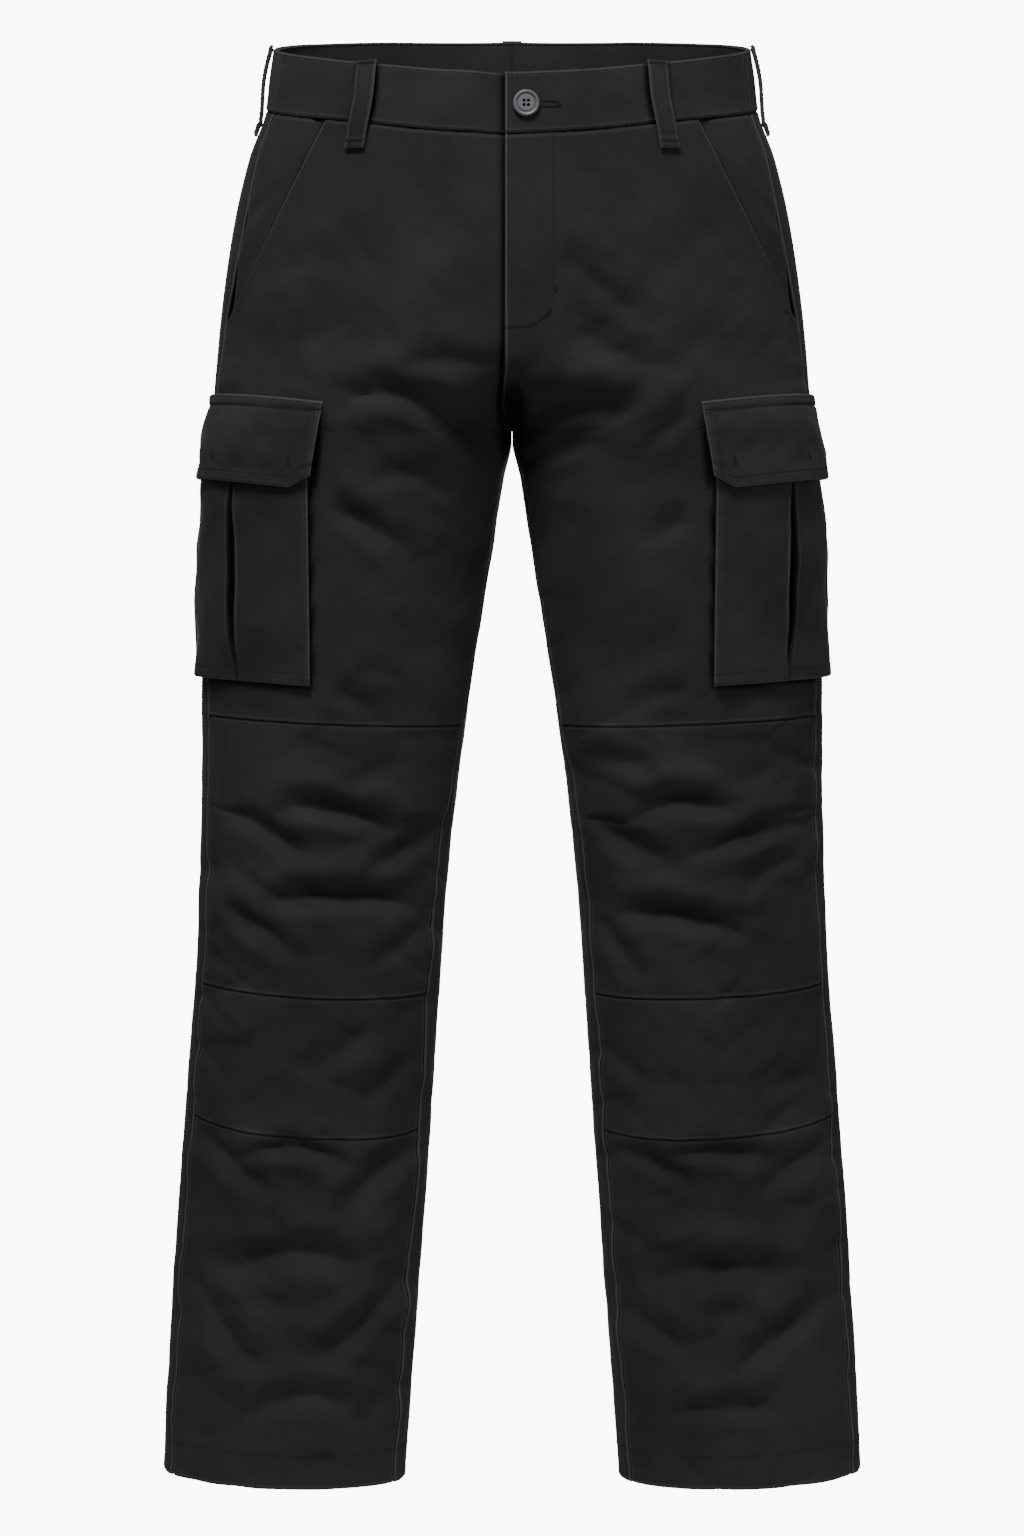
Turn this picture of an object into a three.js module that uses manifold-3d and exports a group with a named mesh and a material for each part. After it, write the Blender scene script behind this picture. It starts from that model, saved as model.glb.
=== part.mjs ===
import * as THREE from 'three';
import { mergeVertices } from 'three/addons/utils/BufferGeometryUtils.js';
import loadManifold from 'manifold-3d';

// Cargo pants, filled out with no wearer. Millimetres, +Z up, the front faces -Y.
// +X is the wearer's left. Height 0 is the middle of the waistband at the side.

// Walls and seams
const CLOTH = 1.6;
const BAND_WALL = 3;
const FLAP_WALL = 2.6;
const GUSSET_WALL = 2.4;
const LOOP_WALL = 2;
const HEM_WALL = 3;
const HEM_HEIGHT = 28;
const BAND_PROUD = 0.6;
const SEAM_GAP = 0.3;
const LAY_GAP = 0.7;
const UNDER_STEP = 2.8;
const BAND_FRONT_COLUMNS = 10;
const BAND_BACK_HALF = 8;

// Form of a fold across its trough, in half widths, and where the folds fade out
const FOLD_STEPS = 8;
const FOLD_REACH = 5;
const FOLD_TAPER = 0.7;
const FOLD_RIDGES = [{ height: 0.55, at: 1.8 }, { height: 0.3, at: -1.8 }];
const RIDGE_WIDTH = 1.2;
const FADE = {
  waist: [-125, -80], fly: [30, 48], flyDrop: 28, slash: [34, 12], slashDrop: 30,
  pocketLow: [-462, -448], pocketTop: [-236, -224], pocketEdge: [118, 132], facing: [0.12, 0.5],
};

// Heights of the cut
const CROTCH = -261;
const FLY_BOTTOM = -194;
const LAP = 5;
const UNDERLAP = 10;
const LAP_FADE = 8;
const UNDER_EDGE = { from: 16, to: 34, fade: 42 };

// Slash pocket, from the waistband seam to the side seam
const SLASH_TOP = { x: 136, z: -42 };
const SLASH_BOTTOM = { x: 209, z: -180 };
const FACING_UNDER = 12;

// Cargo pocket and flap on the outer thigh
const POCKET = { edge: 146, top: -262, bottom: -446, span: 116, rise: 0.06, proud: 3.8 };
const PLEAT = { places: [0.295, 0.705], width: 9, depth: 2.6, fadeTop: 0.12, fadeLow: [0.76, 0.89] };
const GUSSET = { inset: 2.5, width: 14, downSteps: 6, roundSteps: 12 };
const FLAP = { edge: 135, lean: 8, top: -242, bottom: -304, chamfer: 10, span: 122, rise: 0.11 };
const FLAP_LIFT = [0.7, 0.9, 6.5, 7.1, 8, 9.2];
const FLAP_ROWS = [0, 0.13, 0.3, 0.52, 0.76, 1];
const FLAP_WAVE = { height: 0.5, turns: 7 };
const POCKET_COLUMNS = 16;
const POCKET_ROWS = 10;
const FLAP_COLUMNS = 14;

// Belt loops and button
const LOOP = { width: 15, below: 19, stand: 3.3, lay: 0.5, over: 1.2, sewn: 0.86, bow: 0.6 };
const LOOP_COLUMNS = 2;
const LOOP_ROWS = 10;
const LOOP_FRONT_ANGLE = 55;
const LOOP_SIDE_ANGLE = 2;
const LOOP_BACK_ANGLE = -90;
const BUTTON = {
  x: 10, z: -32, radius: 9.5, height: 3.4, rim: 1.6, dish: 0.9, hole: 1, holes: 2.2, lay: 0.5, taper: 0.5,
  segments: 36, drillSegments: 10,
};

const table = (columns, rows) => rows.map((row) => (
  Object.fromEntries(columns.map((name, i) => [name, row[i]]))
));

// Ring of one leg at each height: reach of its outer and inner edge in X, depth to front and back
const RINGS = table(['z', 'outer', 'inner', 'front', 'back'], [
  [50, 172.3, 0, 96, 94],
  [23.5, 175.4, 0, 97, 97],
  [0, 179, 0, 98, 101],
  [-22, 181.5, 0, 99, 105],
  [-58.5, 194.7, 0, 101, 113],
  [-110, 206.8, 0, 103, 124],
  [-176, 216.4, 0, 104, 131],
  [-227, 221.1, 0, 99, 127],
  [-261, 223.5, 0, 92, 114],
  [-295, 225.5, 7, 86, 100],
  [-354.5, 229, 16, 80, 88],
  [-414, 231.5, 25.4, 74, 78],
  [-474, 232.5, 34.5, 69, 70],
  [-534, 232.8, 42, 66, 65],
  [-594, 235, 48.5, 62, 60],
  [-655, 237.5, 53, 60, 58],
  [-715, 242.4, 57, 58, 57],
  [-776, 247.3, 61.2, 56, 56],
  [-837, 252.2, 65.4, 55, 55],
  [-898, 256.4, 70, 54, 54],
  [-960, 260.6, 74.7, 53, 53],
  [-1050, 265.2, 81.2, 51, 51],
]);

// How far the two halves have parted into legs: 0 is one body, 1 is the crotch
const PARTING = table(['z', 'front', 'back'], [
  [50, 0, 0],
  [-100, 0, 0],
  [-150, 0.02, 0.06],
  [-194, 0.1, 0.2],
  [-212, 0.28, 0.42],
  [-230, 0.55, 0.64],
  [-248, 0.84, 0.87],
  [CROTCH, 1, 1],
]);

// Angle round the ring of the side seam and the inseam: 0 is the outer edge, 90 the front
const SEAMS = table(['z', 'side', 'inseam'], [
  [50, 17, 180],
  [-50, 18, 180],
  [-95, 19, 180],
  [-150, 17, 180],
  [-190, 14.5, 180],
  [-261, 16, 180],
  [-300, 18, 178],
  [-480, 22, 165],
  [-600, 24, 156],
  [-1050, 24, 156],
]);

// Waistband edges round the waist
const WAIST = table(['angle', 'top', 'seam'], [
  [-90, 43.8, 0],
  [-60, 41.5, -2],
  [-30, 34.5, -9.5],
  [0, 23.5, -22],
  [30, 10.5, -33.5],
  [55, 0, -42.7],
  [75, -7, -50.5],
  [90, -9.5, -53.5],
]);

// Cross seams of the leg: height, and how it tips to the outside and dips to the front
const CROSS_SEAMS = table(['z', 'out', 'dip'], [
  [-472.5, 4, 2.5],
  [-671, 4.2, 6],
  [-770, 6, 11],
  [-1045.2, 3.2, 0],
]);
const KNEE_TOP = 0;
const KNEE_LOW = 1;
const SHIN = 2;
const HEM = 3;

// Rows of points down the thigh, at the side
const THIGH_ROWS = [
  -22, -44, -68, -94, -120, -146, -170, -194, -207, -219, -231, -242, -252, CROTCH,
  -270, -284, -302, -322, -346, -370, -396, -422, -448, -472.5,
];
const KNEE_STEPS = 10;
const SHIN_STEPS = 5;
const LOWER_STEPS = 12;
const LEG_COLUMNS = 10;
const FACING_COLUMNS = 5;

// Rounds that settle a point that depends on its own height
const PASSES = 6;

// Largest folds: three places along each trough seen from the front, its depth and half width
const FOLD_COLUMNS = ['x0', 'z0', 'x1', 'z1', 'x2', 'z2', 'depth', 'width'];
const FOLDS_RIGHT = table(FOLD_COLUMNS, [
  [127, -249, 84, -238, 16, -273, 6, 12],
  [140, -316, 113, -326, 81, -355, 5, 12],
  [98, -298, 66, -296, 45, -312, 4, 11],
  [153, -456, 131, -449, 102, -466, 3, 9],
  [176, -542, 129, -536, 87, -558, 7, 11],
  [210, -539, 183, -552, 148, -578, 5, 11],
  [108, -582, 82, -572, 57, -549, 5, 10],
  [187, -611, 130, -600, 69, -609, 7, 12],
  [217, -611, 188, -624, 155, -652, 5, 11],
  [100, -653, 78, -636, 59, -624, 4, 10],
  [112, -753, 88, -740, 66, -718, 4, 10],
  [152, -735, 126, -715, 101, -699, 4, 11],
  [202, -792, 156, -786, 107, -803, 7, 13],
  [232, -782, 206, -800, 177, -827, 5, 11],
  [132, -838, 101, -812, 69, -792, 5, 11],
  [223, -886, 156, -867, 103, -882, 7, 14],
  [240, -886, 210, -932, 177, -956, 5, 12],
  [149, -953, 118, -928, 77, -886, 6, 12],
  [206, -991, 157, -976, 120, -982, 5, 11],
]);
const FOLDS_LEFT = table(FOLD_COLUMNS, [
  [13, -251, 49, -246, 88, -249, 6, 12],
  [34, -130, 63, -162, 106, -191, 3, 11],
  [135, -251, 113, -262, 92, -290, 4, 11],
  [92, -344, 128, -326, 140, -316, 4, 11],
  [79, -466, 107, -454, 139, -451, 3, 9],
  [53, -502, 86, -502, 108, -514, 4, 10],
  [86, -545, 125, -531, 163, -542, 7, 11],
  [56, -543, 86, -563, 119, -578, 5, 11],
  [132, -572, 167, -558, 207, -552, 5, 11],
  [168, -602, 192, -581, 217, -574, 4, 10],
  [73, -616, 123, -616, 173, -630, 7, 12],
  [63, -618, 79, -640, 98, -666, 5, 11],
  [67, -715, 87, -732, 105, -751, 4, 10],
  [115, -795, 157, -788, 197, -800, 7, 13],
  [79, -792, 109, -804, 138, -821, 5, 11],
  [180, -831, 205, -806, 232, -792, 5, 11],
  [98, -898, 153, -877, 211, -892, 7, 14],
  [83, -908, 113, -931, 139, -946, 5, 12],
  [165, -956, 202, -929, 240, -898, 6, 12],
  [115, -992, 157, -983, 202, -989, 5, 11],
]);
const FOLDS_BACK = table(FOLD_COLUMNS, [
  [34, -300, 80, -312, 150, -304, 4, 15],
  [40, -352, 85, -372, 140, -378, 4, 14],
  [60, -512, 120, -500, 190, -516, 5, 12],
  [56, -556, 115, -572, 200, -552, 7, 13],
  [66, -612, 130, -598, 214, -618, 7, 13],
  [72, -656, 128, -668, 196, -650, 5, 12],
  [78, -742, 130, -726, 190, -748, 4, 12],
  [84, -802, 150, -818, 226, -798, 6, 13],
  [90, -884, 152, -868, 222, -890, 6, 14],
  [98, -944, 164, -958, 236, -934, 5, 13],
  [106, -1000, 158, -990, 214, -1002, 4, 11],
]);
const FOLDS = { '-1': FOLDS_RIGHT, 1: FOLDS_LEFT };

const radians = (degrees) => degrees * Math.PI / 180;
const degrees = (angle) => angle * 180 / Math.PI;
const lerp = (a, b, t) => a + (b - a) * t;
const smooth = (low, high, value) => THREE.MathUtils.smoothstep(value, low, high);

// Monotone cubic through one column of a table
function along(rows, across, column, place) {
  const falling = rows[0][across] > rows[1][across];
  const at = rows.map((row) => (falling ? -row[across] : row[across]));
  const value = rows.map((row) => row[column]);
  const last = rows.length - 1;
  const x = THREE.MathUtils.clamp(falling ? -place : place, at[0], at[last]);
  let i = 0;
  while (i < last - 1 && x > at[i + 1]) {
    i += 1;
  }
  const secant = (j) => (value[j + 1] - value[j]) / (at[j + 1] - at[j]);
  const slope = (j) => {
    if (j === 0) {
      return secant(0);
    }
    if (j === last) {
      return secant(last - 1);
    }
    const [before, after] = [secant(j - 1), secant(j)];
    return before * after <= 0 ? 0 : 2 * before * after / (before + after);
  };
  const step = at[i + 1] - at[i];
  const t = (x - at[i]) / step;
  const rise = 3 * t * t - 2 * t * t * t;
  return lerp(value[i], value[i + 1], rise)
    + step * slope(i) * t * (1 - t) * (1 - t)
    - step * slope(i + 1) * t * t * (1 - t);
}

// Centre, half width and depth of a leg's ring
function ring(z, face) {
  const outer = along(RINGS, 'z', 'outer', z);
  const depth = along(RINGS, 'z', face, z);
  if (z > CROTCH) {
    const parting = along(PARTING, 'z', face, z);
    const half = outer / (1 + parting);
    return { centre: parting * half, half, depth };
  }
  const inner = along(RINGS, 'z', 'inner', z);
  return { centre: (outer + inner) / 2, half: (outer - inner) / 2, depth };
}

// Point of the unfolded leg; past the middle, the front lap follows the other half
function basePoint(angle, z) {
  const face = Math.sin(angle) >= 0 ? 'front' : 'back';
  const { centre, half, depth } = ring(z, face);
  const x = centre + half * Math.cos(angle);
  const reach = z > CROTCH && x < 0 ? (-x - centre) / half : Math.cos(angle);
  const y = depth * Math.sqrt(Math.max(0, 1 - reach * reach));
  return new THREE.Vector3(x, face === 'front' ? -y : y, z);
}

function baseNormal(angle, z) {
  const turn = 0.002;
  const drop = 0.5;
  const round = basePoint(angle + turn, z).sub(basePoint(angle - turn, z));
  const up = basePoint(angle, z + drop).sub(basePoint(angle, z - drop));
  return up.cross(round).normalize();
}

// Angle where the ring reaches a distance from the middle plane
function angleAt(x, z, face) {
  const { centre, half } = ring(z, face);
  const angle = Math.acos(THREE.MathUtils.clamp((x - centre) / half, -1, 1));
  return face === 'front' ? angle : -angle;
}

// Angle moved by a length along the ring
function shifted(angle, z, length) {
  const { half, depth } = ring(z, Math.sin(angle) >= 0 ? 'front' : 'back');
  const pace = Math.hypot(half * Math.sin(angle), depth * Math.cos(angle));
  return angle + length / pace;
}

// Trough with a soft ridge on each side, from the distance to a curve through three places
function foldDepth(fold, x, z) {
  const controlX = 2 * fold.x1 - (fold.x0 + fold.x2) / 2;
  const controlZ = 2 * fold.z1 - (fold.z0 + fold.z2) / 2;
  const reach = FOLD_REACH * fold.width;
  if (x < Math.min(fold.x0, fold.x2, fold.x1) - reach || x > Math.max(fold.x0, fold.x2, fold.x1) + reach) {
    return 0;
  }
  let nearest = Infinity;
  let where = 0;
  let above = 0;
  for (let i = 0; i < FOLD_STEPS; i += 1) {
    const [s, e] = [i / FOLD_STEPS, (i + 1) / FOLD_STEPS];
    const px = (t) => (1 - t) ** 2 * fold.x0 + 2 * t * (1 - t) * controlX + t * t * fold.x2;
    const pz = (t) => (1 - t) ** 2 * fold.z0 + 2 * t * (1 - t) * controlZ + t * t * fold.z2;
    const [dx, dz] = [px(e) - px(s), pz(e) - pz(s)];
    const t = THREE.MathUtils.clamp(((x - px(s)) * dx + (z - pz(s)) * dz) / (dx * dx + dz * dz), 0, 1);
    const [gapX, gapZ] = [x - px(s) - t * dx, z - pz(s) - t * dz];
    const distance = Math.hypot(gapX, gapZ);
    if (distance < nearest) {
      nearest = distance;
      where = lerp(s, e, t);
      above = gapZ >= 0 ? 1 : -1;
    }
  }
  const off = above * nearest / fold.width;
  const taper = Math.sin(Math.PI * THREE.MathUtils.clamp(where, 0, 1)) ** FOLD_TAPER;
  const beyond = where <= 0 || where >= 1 ? 0 : 1;
  const trough = -Math.exp(-off * off);
  const ridge = FOLD_RIDGES.reduce((sum, { height, at }) => (
    sum + height * Math.exp(-(((off - at) / RIDGE_WIDTH) ** 2))
  ), 0);
  return beyond * fold.depth * taper * (trough + ridge);
}

// Folds fade out under the waist pieces, the fly, the slash pocket and the cargo pocket
function foldShare(x, z) {
  const waist = 1 - smooth(...FADE.waist, z);
  const fly = Math.max(smooth(...FADE.fly, x), 1 - smooth(FLY_BOTTOM - FADE.flyDrop, FLY_BOTTOM, z));
  const [slashFrom, slashTo] = FADE.slash.map((length) => slashAt(z) - length);
  const slash = z > SLASH_BOTTOM.z - FADE.slashDrop ? 1 - smooth(slashFrom, slashTo, x) : 1;
  const inPocket = smooth(...FADE.pocketLow, z) * (1 - smooth(...FADE.pocketTop, z));
  const pocket = 1 - inPocket * smooth(...FADE.pocketEdge, x);
  return waist * fly * slash * pocket;
}

function fold(angle, point, normal, side) {
  const facing = smooth(...FADE.facing, Math.abs(normal.y));
  const share = facing * foldShare(Math.max(point.x, 0), point.z);
  if (share === 0) {
    return 0;
  }
  const rows = Math.sin(angle) >= 0 ? FOLDS[side] : FOLDS_BACK;
  return share * rows.reduce((sum, row) => sum + foldDepth(row, point.x, point.z), 0);
}

// Point on the leg, moved out from its folded surface
function legPoint(angle, z, lift, side) {
  const point = basePoint(angle, z);
  const normal = baseNormal(angle, z);
  return point.addScaledVector(normal, fold(angle, point, normal, side) + lift);
}

function slashAt(z) {
  const t = (z - SLASH_TOP.z) / (SLASH_BOTTOM.z - SLASH_TOP.z);
  return lerp(SLASH_TOP.x, SLASH_BOTTOM.x, t);
}

const sideSeam = (z) => radians(along(SEAMS, 'z', 'side', z));
const inseam = (z) => radians(along(SEAMS, 'z', 'inseam', z));
const waistEdge = (angle, column) => {
  const turn = degrees(angle);
  return along(WAIST, 'angle', column, turn > 90 ? 180 - turn : turn < -90 ? -180 - turn : turn);
};

function crossSeam(index, angle) {
  const { z, out, dip } = CROSS_SEAMS[index];
  return z + out * Math.cos(angle) - dip * Math.sin(angle);
}

// Height of a row of the thigh: the top rows follow the waistband seam round the body
function thighRow(row, angle) {
  if (row === THIGH_ROWS.length - 1) {
    return crossSeam(KNEE_TOP, angle);
  }
  const level = THIGH_ROWS[row];
  const share = THREE.MathUtils.clamp((level - FLY_BOTTOM) / (THIGH_ROWS[0] - FLY_BOTTOM), 0, 1);
  return level + (waistEdge(angle, 'seam') - THIGH_ROWS[0]) * share;
}

const thighRows = THIGH_ROWS.map((_, row) => (angle) => thighRow(row, angle));
const rowsBetween = (upper, lower, steps) => Array.from({ length: steps + 1 }, (_, row) => (
  (angle) => lerp(crossSeam(upper, angle), crossSeam(lower, angle), row / steps)
));
const kneeRows = rowsBetween(KNEE_TOP, KNEE_LOW, KNEE_STEPS);
const shinRows = rowsBetween(KNEE_LOW, SHIN, SHIN_STEPS);
const lowerRows = rowsBetween(SHIN, HEM, LOWER_STEPS);
const backLowerRows = [...kneeRows, ...shinRows.slice(1), ...lowerRows.slice(1)];

// Closed wall through a grid of outer and inner points
function wall(columns, rows, place, side) {
  const stride = rows + 1;
  const count = (columns + 1) * stride;
  const positions = [];
  const faces = [];
  for (const layer of ['outer', 'inner']) {
    for (let i = 0; i <= columns; i += 1) {
      for (let j = 0; j <= rows; j += 1) {
        const point = place(i, j)[layer];
        positions.push(point.x * side, point.y, point.z);
      }
    }
  }
  const quad = (a, b, c, d) => faces.push(a, b, c, a, c, d);
  for (let i = 0; i < columns; i += 1) {
    for (let j = 0; j < rows; j += 1) {
      const at = i * stride + j;
      quad(at, at + 1, at + stride + 1, at + stride);
      quad(count + at + stride, count + at + stride + 1, count + at + 1, count + at);
    }
  }
  for (let i = 0; i < columns; i += 1) {
    const [near, far] = [i * stride, i * stride + rows];
    quad(near + stride, count + near + stride, count + near, near);
    quad(far, count + far, count + far + stride, far + stride);
  }
  for (let j = 0; j < rows; j += 1) {
    const far = columns * stride + j;
    quad(j, count + j, count + j + 1, j + 1);
    quad(far + 1, count + far + 1, count + far, far);
  }
  const geometry = new THREE.BufferGeometry();
  geometry.setAttribute('position', new THREE.Float32BufferAttribute(positions, 3));
  geometry.setIndex(faces);
  if (volume(geometry) < 0) {
    for (let i = 0; i < faces.length; i += 3) {
      [faces[i], faces[i + 1]] = [faces[i + 1], faces[i]];
    }
    geometry.setIndex(faces);
  }
  geometry.computeVertexNormals();
  return geometry;
}

function volume(geometry) {
  const [a, b, c] = [new THREE.Vector3(), new THREE.Vector3(), new THREE.Vector3()];
  const { position } = geometry.attributes;
  let sum = 0;
  for (let i = 0; i < geometry.index.count; i += 3) {
    a.fromBufferAttribute(position, geometry.index.getX(i));
    b.fromBufferAttribute(position, geometry.index.getX(i + 1));
    c.fromBufferAttribute(position, geometry.index.getX(i + 2));
    sum += a.dot(b.cross(c));
  }
  return sum;
}

// Panel between two edge angles and a list of rows, each a half seam gap short of its seams
function panel({ rows, columns, left, right, side, thick, lift, lap }) {
  const last = rows.length - 1;
  const cells = new Map();
  const place = (i, j) => {
    const key = i * rows.length + j;
    if (!cells.has(key)) {
      cells.set(key, cell(i, j));
    }
    return cells.get(key);
  };
  const cell = (i, j) => {
    const trim = j === 0 ? -SEAM_GAP / 2 : j === last ? SEAM_GAP / 2 : 0;
    let angle = (left(rows[j](0)) + right(rows[j](0))) / 2;
    let z = rows[j](angle) + trim;
    for (let pass = 0; pass < PASSES; pass += 1) {
      const trimmed = Math.sign(right(z) - left(z)) * SEAM_GAP / 2;
      const start = shifted(left(z), z, trimmed);
      const end = shifted(right(z), z, -trimmed);
      angle = lerp(start, end, i / columns);
      z = rows[j](angle) + trim;
    }
    const base = basePoint(angle, z);
    const normal = baseNormal(angle, z);
    const out = fold(angle, base, normal, side) + lift(base.x, z);
    const outer = base.clone().addScaledVector(normal, out);
    const inner = base.clone().addScaledVector(normal, out - thick(z));
    if (!lap(z)) {
      outer.x = Math.max(outer.x, SEAM_GAP / 2);
      inner.x = Math.max(inner.x, SEAM_GAP / 2);
    }
    return { outer, inner };
  };
  return wall(columns, last, place, side);
}

const level = () => 0;
const cloth = () => CLOTH;
const never = () => false;
const backMiddle = (z) => (z > CROTCH ? angleAt(0, z, 'back') : inseam(z) - 2 * Math.PI);
const hemWall = (z) => (z < CROSS_SEAMS[HEM].z + HEM_HEIGHT ? HEM_WALL : CLOTH);

// The left front laps over the right as far as the fly bottom
function frontMiddle(side) {
  const reach = side > 0 ? -LAP : -UNDERLAP;
  return (z) => {
    if (z <= CROTCH) {
      return inseam(z);
    }
    return angleAt(reach * smooth(FLY_BOTTOM - LAP_FADE, FLY_BOTTOM, z), z, 'front');
  };
}

// The right front and band dip under the left ones
function underStep(x, z) {
  const { from, to, fade } = UNDER_EDGE;
  return -UNDER_STEP * (1 - smooth(from, to, x)) * smooth(FLY_BOTTOM - fade, FLY_BOTTOM - LAP_FADE, z);
}

function frontEdge(z) {
  return z > SLASH_BOTTOM.z ? angleAt(slashAt(z), z, 'front') : sideSeam(z);
}

const frontThigh = (side) => panel({
  rows: thighRows,
  columns: LEG_COLUMNS,
  left: frontEdge,
  right: frontMiddle(side),
  side,
  thick: cloth,
  lift: side > 0 ? level : underStep,
  lap: (z) => z > FLY_BOTTOM - LAP_FADE,
});

const legPanel = (rows, thick) => (side) => panel({
  rows,
  columns: LEG_COLUMNS,
  left: sideSeam,
  right: inseam,
  side,
  thick,
  lift: level,
  lap: never,
});

// The back leg is cut in one, and its solid is in two lengths that meet level with the knee panel's top
const backLeg = (rows) => (side) => panel({
  rows,
  columns: LEG_COLUMNS,
  left: sideSeam,
  right: backMiddle,
  side,
  thick: hemWall,
  lift: level,
  lap: never,
});

// Pocket facing between the slash and the side seam, its front edge under the thigh
function hipFacing(side) {
  const ends = THIGH_ROWS.filter((z) => z > SLASH_BOTTOM.z).length;
  return panel({
    rows: thighRows.slice(0, ends + 1),
    columns: FACING_COLUMNS,
    left: sideSeam,
    right: (z) => angleAt(Math.min(slashAt(z), SLASH_BOTTOM.x) - FACING_UNDER, z, 'front'),
    side,
    thick: cloth,
    lift: (x, z) => -UNDER_STEP * (1 - smooth(4, 16, x - slashAt(z))),
    lap: never,
  });
}

// Waistband: two fronts that lap at the middle, and one back
const bandRows = [0, 0.5, 1].map((t) => (angle) => (
  lerp(waistEdge(angle, 'top'), waistEdge(angle, 'seam') + SEAM_GAP / 2, t)
));

// The right band dips by its own thickness more than the right front does
const BAND_DIP = (UNDER_STEP + BAND_WALL - CLOTH) / UNDER_STEP;

const bandFront = (side) => panel({
  rows: bandRows,
  columns: BAND_FRONT_COLUMNS,
  left: sideSeam,
  right: (z) => angleAt(side > 0 ? -LAP : -UNDERLAP, z, 'front'),
  side,
  thick: () => BAND_WALL,
  lift: (x) => BAND_PROUD + (side > 0 ? 0 : BAND_DIP * underStep(x, 0)),
  lap: () => true,
});

function bandBack() {
  const half = BAND_BACK_HALF;
  const columns = 2 * half;
  const place = (i, j) => {
    const mirror = i < half ? -1 : 1;
    const t = Math.abs(i - half) / half;
    let z = 0;
    let angle = -Math.PI / 2;
    for (let pass = 0; pass < PASSES; pass += 1) {
      angle = lerp(-Math.PI / 2, shifted(sideSeam(z), z, -SEAM_GAP / 2), t);
      z = bandRows[j](angle);
    }
    const outer = basePoint(angle, z);
    const normal = baseNormal(angle, z);
    outer.addScaledVector(normal, BAND_PROUD);
    const inner = outer.clone().addScaledVector(normal, -BAND_WALL);
    if (i === half) {
      outer.x = 0;
      inner.x = 0;
    }
    outer.x *= mirror;
    inner.x *= mirror;
    return { outer, inner };
  };
  return wall(columns, bandRows.length - 1, place, 1);
}

// Belt loop: a strip that stands off the band between its two sewn ends
function beltLoop(centreAngle, side) {
  const centre = radians(centreAngle);
  const top = waistEdge(centre, 'top') + LOOP.over;
  const bottom = waistEdge(centre, 'seam') - LOOP.below;
  const place = (i, j) => {
    const t = j / LOOP_ROWS;
    const z = lerp(top, bottom, t);
    const angle = shifted(centre, z, LOOP.width * (0.5 - i / LOOP_COLUMNS));
    const stand = lerp(LOOP.lay, LOOP.stand, Math.sin(Math.PI * Math.min(1, t / LOOP.sewn)) ** LOOP.bow);
    const lift = BAND_PROUD + (j === 0 || t > LOOP.sewn ? LOOP.lay : stand);
    const base = basePoint(angle, z);
    const normal = baseNormal(angle, z);
    return {
      outer: base.clone().addScaledVector(normal, lift + LOOP_WALL),
      inner: base.clone().addScaledVector(normal, lift),
    };
  };
  return wall(LOOP_COLUMNS, LOOP_ROWS, place, side);
}

// Place on the outer thigh: distance round from a front edge, and a height that tips with the leg
function thighPlace(edge, rise, across, z, span) {
  const front = angleAt(edge, z, 'front');
  const angle = front - radians(span) * across;
  const level = z + rise * (basePoint(angle, z).x - edge);
  return { angle, z: level };
}

function cargoPocket(side) {
  const place = (i, j) => {
    const across = i / POCKET_COLUMNS;
    const down = j / POCKET_ROWS;
    const { angle, z } = thighPlace(
      POCKET.edge, POCKET.rise, across, lerp(POCKET.top, POCKET.bottom, down), POCKET.span,
    );
    const full = radians(POCKET.span) * 100;
    const pleat = PLEAT.places.reduce((sum, at) => (
      sum + Math.exp(-(((across - at) * full / PLEAT.width) ** 2))
    ), 0) * smooth(0, PLEAT.fadeTop, down) * (1 - smooth(...PLEAT.fadeLow, down));
    const lift = POCKET.proud - PLEAT.depth * pleat;
    return {
      outer: legPoint(angle, z, lift + CLOTH, side),
      inner: legPoint(angle, z, lift, side),
    };
  };
  return wall(POCKET_COLUMNS, POCKET_ROWS, place, side);
}

// Gusset folded flat under the pocket's front, bottom and back edges
function cargoGusset(side) {
  const full = radians(POCKET.span) * 100;
  const tall = POCKET.top - POCKET.bottom;
  const [down, round] = [GUSSET.downSteps, GUSSET.roundSteps];
  const path = [];
  const near = (length) => ({ u: length / full, v: length / tall });
  const stop = (length, t) => {
    const { u, v } = near(length);
    if (t <= down) {
      return [u, lerp(0, 1 - v, t / down)];
    }
    if (t <= down + round) {
      return [lerp(u, 1 - u, (t - down) / round), 1 - v];
    }
    return [1 - u, lerp(1 - v, 0, (t - down - round) / down)];
  };
  for (let t = 0; t <= 2 * down + round; t += 1) {
    path.push([stop(GUSSET.inset, t), stop(GUSSET.inset + GUSSET.width, t)]);
  }
  const place = (i, j) => {
    const [across, low] = path[j][i];
    const { angle, z } = thighPlace(
      POCKET.edge, POCKET.rise, across, lerp(POCKET.top, POCKET.bottom, low), POCKET.span,
    );
    return {
      outer: legPoint(angle, z, LAY_GAP + GUSSET_WALL, side),
      inner: legPoint(angle, z, LAY_GAP, side),
    };
  };
  return wall(1, path.length - 1, place, side);
}

function cargoFlap(side) {
  const place = (i, j) => {
    const across = i / FLAP_COLUMNS;
    const down = FLAP_ROWS[j];
    const end = i === 0 || i === FLAP_COLUMNS;
    const low = FLAP.bottom + (end ? FLAP.chamfer : 0);
    const edge = FLAP.edge + FLAP.lean * down;
    const { angle, z } = thighPlace(edge, FLAP.rise, across, lerp(FLAP.top, low, down), FLAP.span);
    const lift = FLAP_LIFT[j] + FLAP_WAVE.height * down * Math.sin(FLAP_WAVE.turns * across + side);
    return {
      outer: legPoint(angle, z, lift + FLAP_WALL, side),
      inner: legPoint(angle, z, lift, side),
    };
  };
  return wall(FLAP_COLUMNS, FLAP_ROWS.length - 1, place, side);
}

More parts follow.
